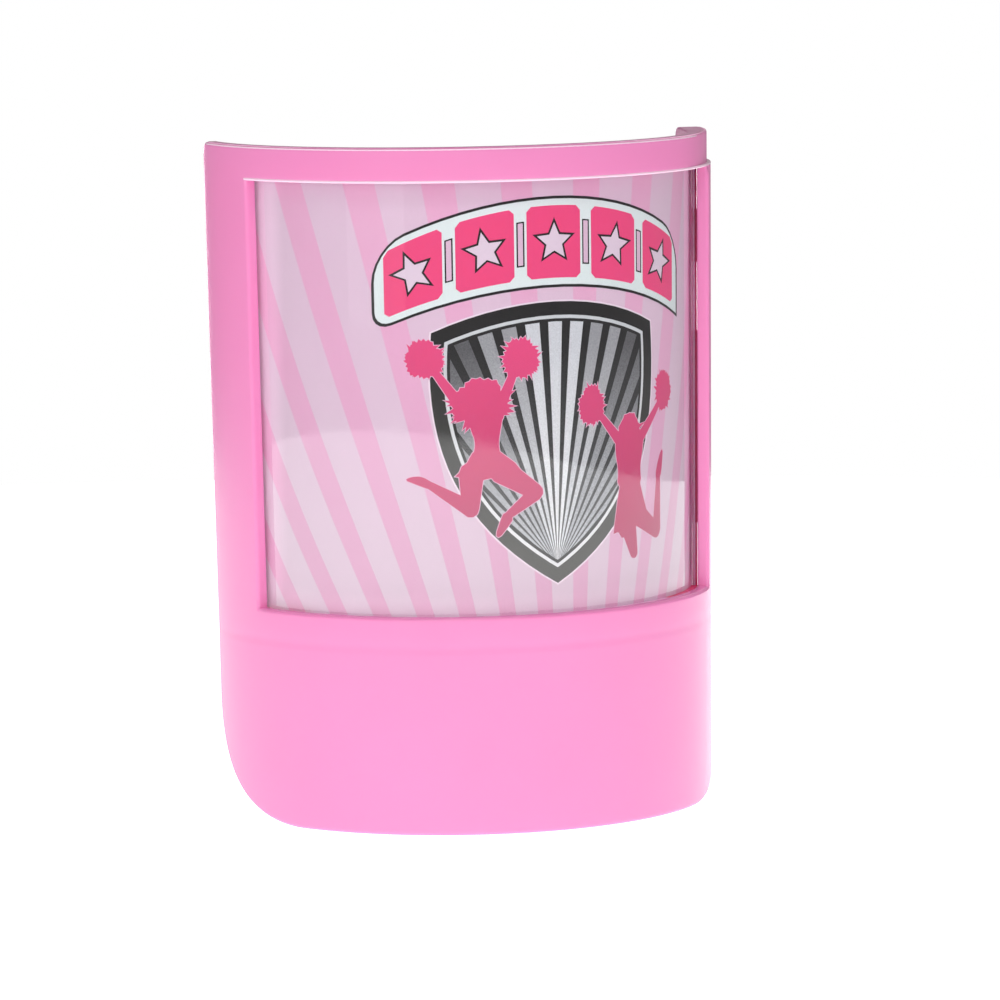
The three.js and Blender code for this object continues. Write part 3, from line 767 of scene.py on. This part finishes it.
def ragged_disc(x, z, radius_x, radius_z, spikes, depth, rng):
    """A lumpy disc with a ragged edge, for hair and pom-poms."""
    points = []
    phase = rng.uniform(0, 6)
    for i in range(2 * spikes):
        a = math.pi * i / spikes
        lump = 0.05 * math.sin(3 * a + phase) + 0.04 * math.sin(7 * a + 2 * phase)
        reach = 1 + lump + (depth if i % 2 else -depth) * rng.uniform(0.2, 1.0)
        points.append((x + radius_x * reach * math.cos(a), z + radius_z * reach * math.sin(a)))
    return points


def tufts(x, z, radius_x, radius_z, spread, reach, width, rng):
    """Pointed strands that stand out from a disc. spread is their count and two angles, in degrees."""
    strands = []
    count, first, last = spread
    for i in range(count):
        a = math.radians(first + (last - first) * (i + rng.uniform(0.1, 0.9)) / count)
        lean = a + rng.uniform(-0.22, 0.22)
        far = reach * rng.uniform(0.86, 1.08)
        strands.append([
            (x + radius_x * share * math.cos(turn), z + radius_z * share * math.sin(turn))
            for share, turn in ((0.8, a - width), (0.8, a + width), (far, lean))
        ])
    return strands


def pompom(x, z, radius_x, radius_z, rng):
    disc = ragged_disc(x, z, radius_x, radius_z, 26, 0.09, rng)
    return [disc] + tufts(x, z, radius_x, radius_z, (16, 0, 360), 1.2, 0.17, rng)


def softened(outline, rounds=2):
    """An outline with its corners cut again and again until it looks smooth."""
    for _ in range(rounds):
        smoother = []
        for (x0, z0), (x1, z1) in zip(outline, outline[1:] + outline[:1]):
            smoother.append((x0 * 0.75 + x1 * 0.25, z0 * 0.75 + z1 * 0.25))
            smoother.append((x0 * 0.25 + x1 * 0.75, z0 * 0.25 + z1 * 0.75))
        outline = smoother
    return outline


def moved(outline, x, z):
    return [(x + a, z + b) for a, b in outline]


def grown(outline, margin):
    """An outline made bigger by a margin, whichever way round it runs."""
    area = sum(x0 * z1 - x1 * z0 for (x0, z0), (x1, z1) in zip(outline, outline[1:] + outline[:1]))
    return drawn_in(outline if area > 0 else outline[::-1], -margin)


def jumper_left(rng):
    """A jumping figure with both arms up and the legs bent back."""
    x, z = ART_X - 10.6, 62.0
    torso = [(-3.1, 1.3), (-2.5, -1.6), (-1.6, -3.9), (-2.5, -6.6), (2.2, -6.6), (1.6, -4.2),
             (2.0, -1.8), (2.6, 1.3), (0.9, 2.4), (-1.3, 2.4)]
    skirt = [(-2.2, -5.2), (-3.4, -7.4), (-4.8, -8.7), (-3.7, -8.9), (-3.8, -9.9), (-1.6, -9.5),
             (0.4, -9.1), (2.3, -8.8), (3.6, -9.1), (3.9, -8.3), (5.2, -8.3), (4.1, -6.9), (1.9, -5.2)]
    back_shoe = [(-8.0, -9.6), (-9.6, -8.6), (-11.3, -8.7), (-12.2, -9.2), (-10.6, -9.8), (-8.4, -10.7)]
    front_shoe = [(2.4, -14.0), (1.7, -15.6), (1.0, -17.6), (1.6, -18.0), (2.7, -16.7), (3.9, -15.0)]
    shapes = [
        limb((-3.0, 0.6), (-7.6, 7.0), 1.9, 1.1),
        limb((1.6, 0.6), (4.4, 7.2), 1.9, 1.1),
        softened(torso),
        skirt,
        limb((-2.4, -8.4), (-2.6, -13.6), 3.7, 2.5),
        limb((-2.7, -13.5), (-8.4, -10.0), 2.4, 1.2),
        softened(back_shoe, 1),
        limb((2.0, -8.0), (7.2, -11.4), 3.8, 2.4),
        limb((7.1, -11.6), (3.1, -14.6), 2.3, 1.2),
        softened(front_shoe, 1),
    ]
    parts = pompom(x - 9.0, z + 8.7, 2.8, 2.8, rng) + pompom(x + 5.2, z + 8.5, 2.7, 2.9, rng)
    hair = (x - 0.9, z + 2.2, 4.0, 3.5)
    parts.append(ragged_disc(*hair, 22, 0.06, rng))
    parts += tufts(*hair, (11, 160, 250), 1.35, 0.2, rng)
    parts += tufts(*hair, (8, -60, 10), 1.3, 0.2, rng)
    return parts + [moved(shape, x, z) for shape in shapes]


def jumper_right(rng):
    """A second figure, arms wide and both feet tucked up behind."""
    x, z = ART_X + 13.6, 57.5
    torso = [(-3.1, 0.1), (-3.0, -2.6), (-2.5, -4.6), (-2.8, -7.6), (2.6, -7.6), (2.2, -4.6),
             (2.8, -2.4), (3.1, 0.1), (1.0, 0.9), (-1.0, 0.9)]
    skirt = [(-2.1, -6.4), (-2.8, -9.6), (-3.6, -14.2), (-2.6, -14.0), (-1.9, -15.0), (-0.4, -14.4),
             (1.2, -13.4), (2.6, -12.4), (3.7, -11.0), (2.9, -9.0), (2.0, -6.4)]
    raised_shoe = [(6.2, -7.0), (6.3, -5.4), (7.5, -2.9), (8.4, -2.4), (8.2, -4.4), (7.6, -6.9)]
    shapes = [
        limb((-2.0, -0.6), (-6.1, 4.0), 1.8, 1.0),
        limb((1.9, -0.6), (7.2, 4.6), 1.8, 1.0),
        softened(torso),
        skirt,
        limb((-0.6, -12.6), (0.7, -17.4), 3.6, 1.7),
        limb((1.5, -11.6), (6.2, -14.6), 3.5, 2.3),
        limb((6.4, -14.4), (6.9, -7.0), 2.2, 1.2),
        softened(raised_shoe, 1),
    ]
    parts = pompom(x - 7.5, z + 5.4, 2.2, 2.9, rng) + pompom(x + 8.6, z + 6.4, 2.3, 3.0, rng)
    hair = (x - 0.1, z + 1.2, 2.3, 2.4)
    parts.append(ragged_disc(*hair, 14, 0.05, rng))
    parts += tufts(*hair, (8, -75, 15), 1.8, 0.18, rng)
    parts += tufts(*hair, (6, 170, 250), 1.4, 0.18, rng)
    return parts + [moved(shape, x, z) for shape in shapes]


def picture_layers():
    """Every printed shape as (label of its ink, outline)."""
    rng = random.Random(11)
    rays = range(-9, 10)
    layers = [("ray", wedge(RAY_SOURCE, 1.64 + RAY_STEP * k, RAY_WIDTH, 60, 175)) for k in rays]
    layers += [("banner_line", banner_outline(0)), ("banner_edge", banner_outline(0.42))]
    pitch = 10.5
    half = 4.3
    for i in range(5):
        middle = (i - 2) * pitch
        height = 87.55 - 0.0094 * middle * middle
        tilt = -math.degrees(0.0188 * middle)
        layers += [
            ("tile", banner_tile(middle - half, middle + half)),
            ("star_line", star(ART_X + middle, height, 3.6, tilt)),
            ("star", star(ART_X + middle, height - 0.02, 2.85, tilt)),
        ]
        if i:
            between = middle - pitch / 2
            layers += [
                ("slot_line", banner_tile(between - 0.6, between + 0.6, 3.4, 0.05)),
                ("slot", banner_tile(between - 0.38, between + 0.38, 3.62, 0.05)),
            ]
    shield = shield_outline()
    layers += [
        ("shield_line", drawn_in(shield, -0.25)),
        ("shield_edge", shield),
        ("shield_rim", drawn_in(shield, 2.0)),
        ("shield_shadow", drawn_in(shield, 2.5)),
        ("shield_face", drawn_in(shield, 2.95)),
    ]
    for k in range(-11, 12):
        label = "beam_bright" if abs(k) < 2 else "beam_soft" if abs(k) < 4 else "beam_dim"
        layers.append((label, wedge(SHIELD_SOURCE, 5.7 * k, 3.5, 0.5, 42)))
    for part in jumper_left(rng) + jumper_right(rng):
        layers += [("figure_edge", grown(part, 0.1)), ("figure", part)]
    return layers


# Each ink's name, colour, dot grain, and the colour that it turns to further down the sheet. They
# are listed in the order in which they are printed.
INKS = {
    "paper": ("Lilac print", (221, 195, 214), 0.03, (217, 196, 211)),
    "ray": ("Pink ray print", (228, 176, 206), 0.03, (219, 171, 199)),
    "banner_line": ("Black print", (12, 11, 14), 0.2),
    "banner_edge": ("Pale print", (222, 232, 234)),
    "tile": ("Hot pink print", (237, 74, 134)),
    "star_line": ("Star edge print", (16, 14, 18), 0.2),
    "star": ("Star print", (224, 206, 222)),
    "slot_line": ("Slot edge print", (16, 14, 18), 0.2),
    "slot": ("Slot print", (221, 190, 212)),
    "shield_line": ("Shield gap print", (236, 220, 232)),
    "shield_edge": ("Shield border print", (13, 13, 15), 0.08, (83, 83, 80)),
    "shield_rim": ("Shield silver print", (205, 208, 212), 0.03, (232, 233, 235)),
    "shield_shadow": ("Shield shadow print", (22, 22, 24), 0.1, (60, 60, 60)),
    "shield_face": ("Shield slot print", (22, 22, 24), 0.3, (88, 88, 90)),
    "beam_dim": ("Dim beam print", (92, 92, 96), 0.25, (196, 198, 203)),
    "beam_soft": ("Soft beam print", (158, 159, 164), 0.16, (224, 226, 230)),
    "beam_bright": ("Bright beam print", (206, 208, 214), 0.1, (236, 237, 240)),
    "figure_edge": ("Figure edge print", (226, 190, 212)),
    "figure": ("Figure print", (226, 76, 134), 0.03, (188, 72, 114)),
    "back": ("Sheet back", (238, 236, 236)),
}
INK_NUMBERS = {label: number for number, label in enumerate(INKS)}


def clipped(outline, low, high):
    """The part of a convex outline between two heights."""

    def cut(points, level, keep_above):
        result = []
        for (x0, z0), (x1, z1) in zip(points, points[1:] + points[:1]):
            kept = (z0 >= level) == keep_above or z0 == level
            if kept:
                result.append((x0, z0))
            if (z0 - level) * (z1 - level) < 0:
                result.append((x0 + (level - z0) / (z1 - z0) * (x1 - x0), level))
        return result

    return cut(cut(outline, low, True), high, False)


def on_print(x, z, depth):
    angle = math.degrees(x / PRINT_RADIUS)
    return on_shade(angle, INSERT_INSET - leaning(angle) + depth, BOTTOM + z)


def printed_ink(centre, shapes):
    """The number of the ink that is printed last at a point."""
    found = {"paper"}
    for label, outline, (x0, x1, z0, z1) in shapes:
        if x0 <= centre[0] <= x1 and z0 <= centre[1] <= z1 and inside(centre, outline):
            found.add(label)
    if "shield_face" not in found:
        found -= {"beam_dim", "beam_soft", "beam_bright"}
    return max(INK_NUMBERS[label] for label in found)


def printed_sheet():
    """The flat sheet as points, triangles and the number of each triangle's ink."""
    points = []
    edges = []

    def add_outline(outline):
        edges.extend(ring(len(points), len(outline)))
        points.extend(Vector(p) for p in outline)

    places = steps(-SHEET_HALF, SHEET_HALF, 56)
    for a, b in zip(places, places[1:]):
        add_outline([(a, SHEET_LOW), (b, SHEET_LOW), (b, SHEET_HIGH), (a, SHEET_HIGH)])
    shapes = []
    for label, outline in picture_layers():
        xs, zs = zip(*outline)
        shapes.append((label, outline, (min(xs), max(xs), min(zs), max(zs))))
        if label == "ray":
            outline = clipped(outline, SHEET_LOW, SHEET_HIGH)
        if len(outline) > 2:
            add_outline(outline)
    flat, _, triangles, *_ = delaunay_2d_cdt(points, edges, [], 0, 1e-4)
    faces = []
    numbers = []
    for triangle in triangles:
        centre = middle_of([flat[i] for i in triangle])
        if abs(centre[0]) < SHEET_HALF and SHEET_LOW < centre[1] < SHEET_HIGH:
            faces.append(triangle)
            numbers.append(printed_ink(centre, shapes))
    used = sorted({i for face in faces for i in face})
    renumbered = {old: new for new, old in enumerate(used)}
    return [flat[i] for i in used], [tuple(renumbered[i] for i in face) for face in faces], numbers


def picture_insert():
    """The printed sheet, bent to follow the shade, with a plain back and edges."""
    flat, faces, inks = printed_sheet()
    points = [on_print(p.x, p.y, depth) for depth in (0, INSERT_THICKNESS) for p in flat]
    total = len(flat)
    solid = faces + [tuple(i + total for i in reversed(face)) for face in faces]
    sides = dict.fromkeys(side for face in faces for side in zip(face, face[1:] + face[:1]))
    solid += [(b, a, a + total, b + total) for a, b in sides if (b, a) not in sides]
    inks += [INK_NUMBERS["back"]] * (len(solid) - len(faces))
    materials = [ink(*look) for look in INKS.values()]
    piece = mesh_object("picture_insert_look", points, solid, materials, inks, sharp=60)
    place(piece, "picture_insert")


# ---------- retainers of the insert ----------


def insert_retainer(word, side):
    """A curved strip that holds the lens and the picture against the frame."""
    near, far = sorted((side * arc_of(RETAINER_ANGLE - 2.3), side * arc_of(RETAINER_ANGLE + 2.3)))
    loop = rectangle(near, far, PANE_BOTTOM, PANE_TOP)
    plate = curved_plate([loop], (RETAINER_INSET, RETAINER_INSET + 1.5), (0.3, 0.3))
    node = f"insert_retainer_{word}"
    plate_object(node, [(0, plate)], [finish_of(node)])


# ---------- pieces that keep the frame's shape ----------

def meets_seam(edge):
    """Whether a seam inside a flat face starts at one of the edge's ends."""
    return any(
        len(other.link_faces) == 2 and other.calc_face_angle() < math.radians(1)
        for vert in edge.verts for other in vert.link_edges
    )


def refined(node, width):
    """A copy of a CAD node with clean flats, rounded edges and smooth curves."""
    mesh = nodes[node].data.copy()
    mesh.name = f"{node}_look"
    build = bmesh.new()
    build.from_mesh(mesh)
    bmesh.ops.remove_doubles(build, verts=build.verts, dist=0.001 * MM)
    bmesh.ops.dissolve_limit(
        build, angle_limit=math.radians(1), verts=build.verts, edges=build.edges,
        use_dissolve_boundaries=False,
    )
    bmesh.ops.recalc_face_normals(build, faces=build.faces)
    weights = build.edges.layers.float.new("bevel_weight_edge")
    for edge in build.edges:
        if len(edge.link_faces) == 2 and edge.calc_face_angle() > math.radians(32):
            shortest = min(other.calc_length() for vert in edge.verts for other in vert.link_edges)
            edge[weights] = 0 if meets_seam(edge) else min(1.0, 0.3 * shortest / (width * MM))
    build.to_mesh(mesh)
    build.free()
    mesh.materials.clear()
    mesh.materials.append(finish_of(node))
    mesh.polygons.foreach_set("use_smooth", [True] * len(mesh.polygons))
    mesh.set_sharp_from_angle(angle=math.radians(32))
    piece = linked(f"{node}_look", mesh)
    bevel = add_bevel(piece, width, clamp=False)
    bevel.limit_method = "WEIGHT"
    place(piece, node)


# how far the edges of these pieces are rounded, in millimetres
ROUNDING = {
    "shade_bracket": 0.3,
    "base_rear_housing": 0.4,
    "base_front_housing": 0.35,
    "plug_puck": 0.25,
    "swivel_retainer": 0.2,
    "swivel_washer": 0.1,
    "plug_blade_left": 0.22,
    "plug_blade_right": 0.22,
    "contact_leaf_left": 0.08,
    "contact_leaf_right": 0.08,
    "retainer_screw_left": 0.1,
    "retainer_screw_right": 0.1,
    "housing_screw_1": 0.1,
    "housing_screw_2": 0.1,
    "centre_contact": 0.08,
    "switch_body": 0.2,
    "switch_rocker": 0.3,
    "line_strap": 0.08,
    "neutral_strap": 0.08,
}

# ---------- lamp and socket ----------

glass_low, glass_high = box_mm("lamp_glass")
cap_low, cap_high = box_mm("lamp_cap")
socket_low, socket_high = box_mm("lamp_socket")
shell_low, shell_high = box_mm("socket_shell")
LAMP_Y = (glass_low.y + glass_high.y) / 2
THREAD_PITCH = 2.54
THREAD_SWING = 0.12
GLASS_NECK = 4.4


def turned(node, profile, sides=72, bevel=0.0, thread=None):
    """A piece turned about the lamp's upright line from a closed profile of (radius, height).
    thread gives extra radius from a turn, in radians, a radius and a height."""
    points = []
    count = len(profile)
    for i in range(sides):
        turn = 2 * math.pi * i / sides
        for radius, z in profile:
            reach = radius + (thread(turn, radius, z) if thread and radius > 0 else 0)
            points.append((reach * math.cos(turn), LAMP_Y + reach * math.sin(turn), z))
    faces = []
    for i in range(sides):
        here = i * count
        following = (i + 1) % sides * count
        for a in range(count):
            b = (a + 1) % count
            faces.append((here + a, following + a, following + b, here + b))
    piece = mesh_object(f"{node}_look", points, faces, [finish_of(node)])
    merge_and_face_out(piece)
    if bevel:
        add_bevel(piece, bevel, angle=30, clamp=False)
    place(piece, node)


def lamp_socket():
    floor = socket_low.z
    rim = socket_high.z
    wide = (socket_high.x - socket_low.x) / 2
    lip = 15.3
    bore = 6.8
    profile = [
        (0, floor), (wide - 1.5, floor), (wide - 1.5, lip), (wide, lip), (wide, rim - 0.6),
        (wide - 0.6, rim), (bore, rim), (bore, floor + 2), (0, floor + 2),
    ]
    turned("lamp_socket", profile, bevel=0.2)


def rolled(turn, radius, z):
    """The swing of a rolled screw thread: one turn for each pitch of height."""
    return THREAD_SWING * math.cos(2 * math.pi * z / THREAD_PITCH - turn)


def socket_shell():
    outside = (shell_high.x - shell_low.x) / 2 - THREAD_SWING
    heights = steps(shell_low.z, shell_high.z, 48)
    profile = [(outside, z) for z in heights] + [(outside - 0.33, z) for z in reversed(heights)]
    turned("socket_shell", profile, thread=rolled)


def lamp_cap():
    outside = (cap_high.x - cap_low.x) / 2 - THREAD_SWING
    low = cap_low.z
    high = cap_high.z

    def swing(turn, radius, z):
        fade = smoothstep(low, low + 1.5, z) * smoothstep(high, high - 1.5, z)
        return rolled(turn, radius, z) * fade if radius > outside - 0.1 else 0

    profile = [(outside, z) for z in steps(low, high, 56)]
    profile += [(outside - 0.45, high), (outside - 0.45, low)]
    turned("lamp_cap", profile, thread=swing)


def envelope(share):
    """The lamp's candle shape: a neck, a belly and a blunt tip."""
    widest = (glass_high.x - glass_low.x) / 2
    if share < 0.42:
        belly = math.sin(math.pi * share / 0.42 / 2)
        return GLASS_NECK + (widest - GLASS_NECK) * belly * belly
    fall = (share - 0.42) / 0.58
    return widest * math.sqrt(max(0.0, 1 - fall**2.1))


def lamp_glass():
    shoulder = cap_high.z + 0.6
    top = glass_high.z
    wall = 0.6
    outside = []
    inner = []
    for i in range(49):
        share = 1 - (1 - i / 48) ** 2
        radius = envelope(share)
        outside.append((radius, shoulder + (top - shoulder) * share))
        inner.append((max(0.0, radius - wall), shoulder + (top - wall - shoulder) * share))
    neck = [(GLASS_NECK - wall, glass_low.z), (GLASS_NECK, glass_low.z)]
    turned("lamp_glass", inner[::-1] + neck + outside)


def lamp_foot():
    """The insulating ring and the solder button under the cap."""
    insulator = [(0, -1), (2.4, -1), (4.85, 0.9), (4.35, 1.6), (0, 1.6)]
    turned("lamp_insulator", insulator, 48, bevel=0.1)
    button = [(0, -2), (0.7, -1.97), (1.3, -1.87), (1.7, -1.7), (1.9, -1.5), (1.9, -1.3), (0, -1.3)]
    turned("lamp_button", button, 40)


def lamp_stem():
    stem = [
        (0, 5), (3.3, 5), (2.9, 8), (2.2, 12), (1.6, 16), (1.3, 20), (1.1, 26.4), (0.8, 27.2),
        (0, 27.4),
    ]
    turned("lamp_stem", stem, 40)


def wire(node, path, radius, sides):
    """A round wire along a path, closed at both ends."""
    points = []
    side_way = path[1] - path[0]
    side_way = side_way.normalized().orthogonal()
    for i, spot in enumerate(path):
        ahead = (path[min(i + 1, len(path) - 1)] - path[max(i - 1, 0)]).normalized()
        side_way = (side_way - ahead * side_way.dot(ahead)).normalized()
        other = ahead.cross(side_way)
        for k in range(sides):
            turn = 2 * math.pi * k / sides
            points.append(spot + (side_way * math.cos(turn) + other * math.sin(turn)) * radius)
    faces = []
    for i in range(len(path) - 1):
        for k in range(sides):
            a = i * sides + k
            b = i * sides + (k + 1) % sides
            faces.append((a, b, b + sides, a + sides))
    last = (len(path) - 1) * sides
    faces += [tuple(reversed(range(sides))), tuple(range(last, last + sides))]
    piece = mesh_object(f"{node}_look", points, faces, [finish_of(node)], sharp=60)
    place(piece, node)


def filament_post(word, side):
    """A post that leans outwards from the stem and bends in a little on its way up."""
    node = f"filament_post_{word}"
    low, high = box_mm(node)
    near, far = sorted((low.x, high.x), key=abs)
    start = Vector((near + side * 0.25, LAMP_Y, low.z))
    end = Vector((far - side * 0.3, LAMP_Y, high.z - 0.4))
    bend = start.lerp(end, 0.25) - Vector((side * 0.5, 0, 0))
    path = [start * (1 - t) ** 2 + bend * (2 * t * (1 - t)) + end * t * t for t in steps(0, 1, 16)]
    wire(node, path, 0.2, 10)


def lamp_filament():
    """A coiled filament that hangs in an arc between the two posts."""
    low, high = box_mm("lamp_filament")
    half = (high.x - low.x) / 2
    coil = 0.14
    turns = 46
    path = []
    for t in steps(0, 1, turns * 8):
        turn = 2 * math.pi * turns * t
        z = low.z + 0.25 + (high.z - low.z - 0.5) * (1 - (2 * t - 1) ** 2)
        spot = (2 * half * t - half, LAMP_Y + coil * math.cos(turn), z + coil * math.sin(turn))
        path.append(Vector(spot))
    wire("lamp_filament", path, 0.05, 5)


# ---------- camera, lights and floor ----------


def add_camera():
    """A long lens at the left and a little above, aimed a little right of and below the middle."""
    data = bpy.data.cameras.new("Camera")
    data.lens = 213.3
    data.sensor_width = 36
    data.clip_start = 0.01
    data.clip_end = 20
    data.dof.use_dof = False
    turn = math.radians(13.83)
    rise = math.radians(6.28)
    roll = math.radians(1.0)
    distance = 909.1
    centre = Vector((0, AXIS_Y, BOTTOM + 51))
    back = Vector((-math.sin(turn) * math.cos(rise), -math.cos(turn) * math.cos(rise), math.sin(rise)))
    right = Vector((math.cos(turn), -math.sin(turn), 0))
    above = back.cross(right)
    place_mm = centre + back * distance
    aim = centre + right * 6.18 - above * 5.41
    back = (place_mm - aim).normalized()
    right = above.cross(back).normalized()
    above = back.cross(right)
    rolled_above = above * math.cos(roll) + right * math.sin(roll)
    matrix = Matrix((rolled_above.cross(back), rolled_above, back)).transposed().to_4x4()
    matrix.translation = place_mm * MM
    camera = linked("Camera", data)
    camera.matrix_world = matrix
    bpy.context.scene.camera = camera


def add_area(name, place_m, aim_m, size, power):
    data = bpy.data.lights.new(name, "AREA")
    data.shape = "RECTANGLE"
    data.size, data.size_y = size
    data.energy = power
    light = linked(name, data)
    light.location = place_m
    light.rotation_euler = (Vector(aim_m) - Vector(place_m)).to_track_quat("-Z", "Y").to_euler()


def add_world():
    """A dim studio room that is white where the camera looks straight at it."""
    world = bpy.data.worlds.new("Studio")
    bpy.context.scene.world = world
    world.use_nodes = True
    tree = world.node_tree
    studio = tree.nodes["Background"]
    where = add_node(tree, "TexCoord").outputs["Generated"]
    height = add_node(tree, "SeparateXYZ", {"Vector": where}).outputs["Z"]
    room = ramp(tree, height, 0.0, 0.6, ((0.24, 0.22, 0.23, 1), (0.34, 0.34, 0.34, 1)))
    set_inputs(tree, studio, {"Color": room})
    mix = add_node(tree, "MixShader", {
        "Fac": add_node(tree, "LightPath").outputs["Is Camera Ray"],
        1: studio.outputs["Background"],
        2: add_node(tree, "Background", {"Color": (1, 1, 1, 1)}).outputs["Background"],
    })
    set_inputs(tree, tree.nodes["World Output"], {"Surface": mix.outputs["Shader"]})


def add_floor():
    """A glowing round light table under the object."""
    radius = 480
    sides = 96
    points = []
    for i in range(sides):
        turn = 2 * math.pi * i / sides
        points.append((radius * math.cos(turn) - 45, radius * math.sin(turn) - 25, BOTTOM - 1))
    material, tree, shader = new_material("Light table")
    set_inputs(tree, shader, {
        "Base Color": (0.3, 0.3, 0.3, 1),
        "Roughness": 0.8,
        "Emission Color": (1, 1, 1, 1),
        "Emission Strength": 1.45,
    })
    mesh_object("floor", points, [tuple(range(sides))], [material])


# ---------- the whole scene ----------

shade_frame()
window_lens()
picture_insert()
for word, side in SIDES:
    insert_retainer(word, side)
for node, width in ROUNDING.items():
    refined(node, width)
lamp_socket()
socket_shell()
lamp_cap()
lamp_foot()
lamp_glass()
lamp_stem()
for word, side in SIDES:
    filament_post(word, side)
lamp_filament()
add_camera()
add_world()
add_floor()
aim = (0, 0, 0.03)
add_area("Front softbox", (-0.5, -1.3, 0.58), aim, (1.2, 1.0), 3.5)
add_area("Left fill", (-1.0, -0.85, 0.3), aim, (0.7, 0.8), 0.65)
add_area("Back softbox", (0.4, 1.3, 0.9), aim, (1.2, 0.8), 6)
add_area("Low back panel", (-0.13, 1.3, -0.06), aim, (0.22, 0.3), 1.7)
add_area("Top strip", (-0.1, -0.7, 0.9), (0, 0, 0.08), (0.7, 0.2), 3)

bpy.context.scene.view_settings.view_transform = "Standard"
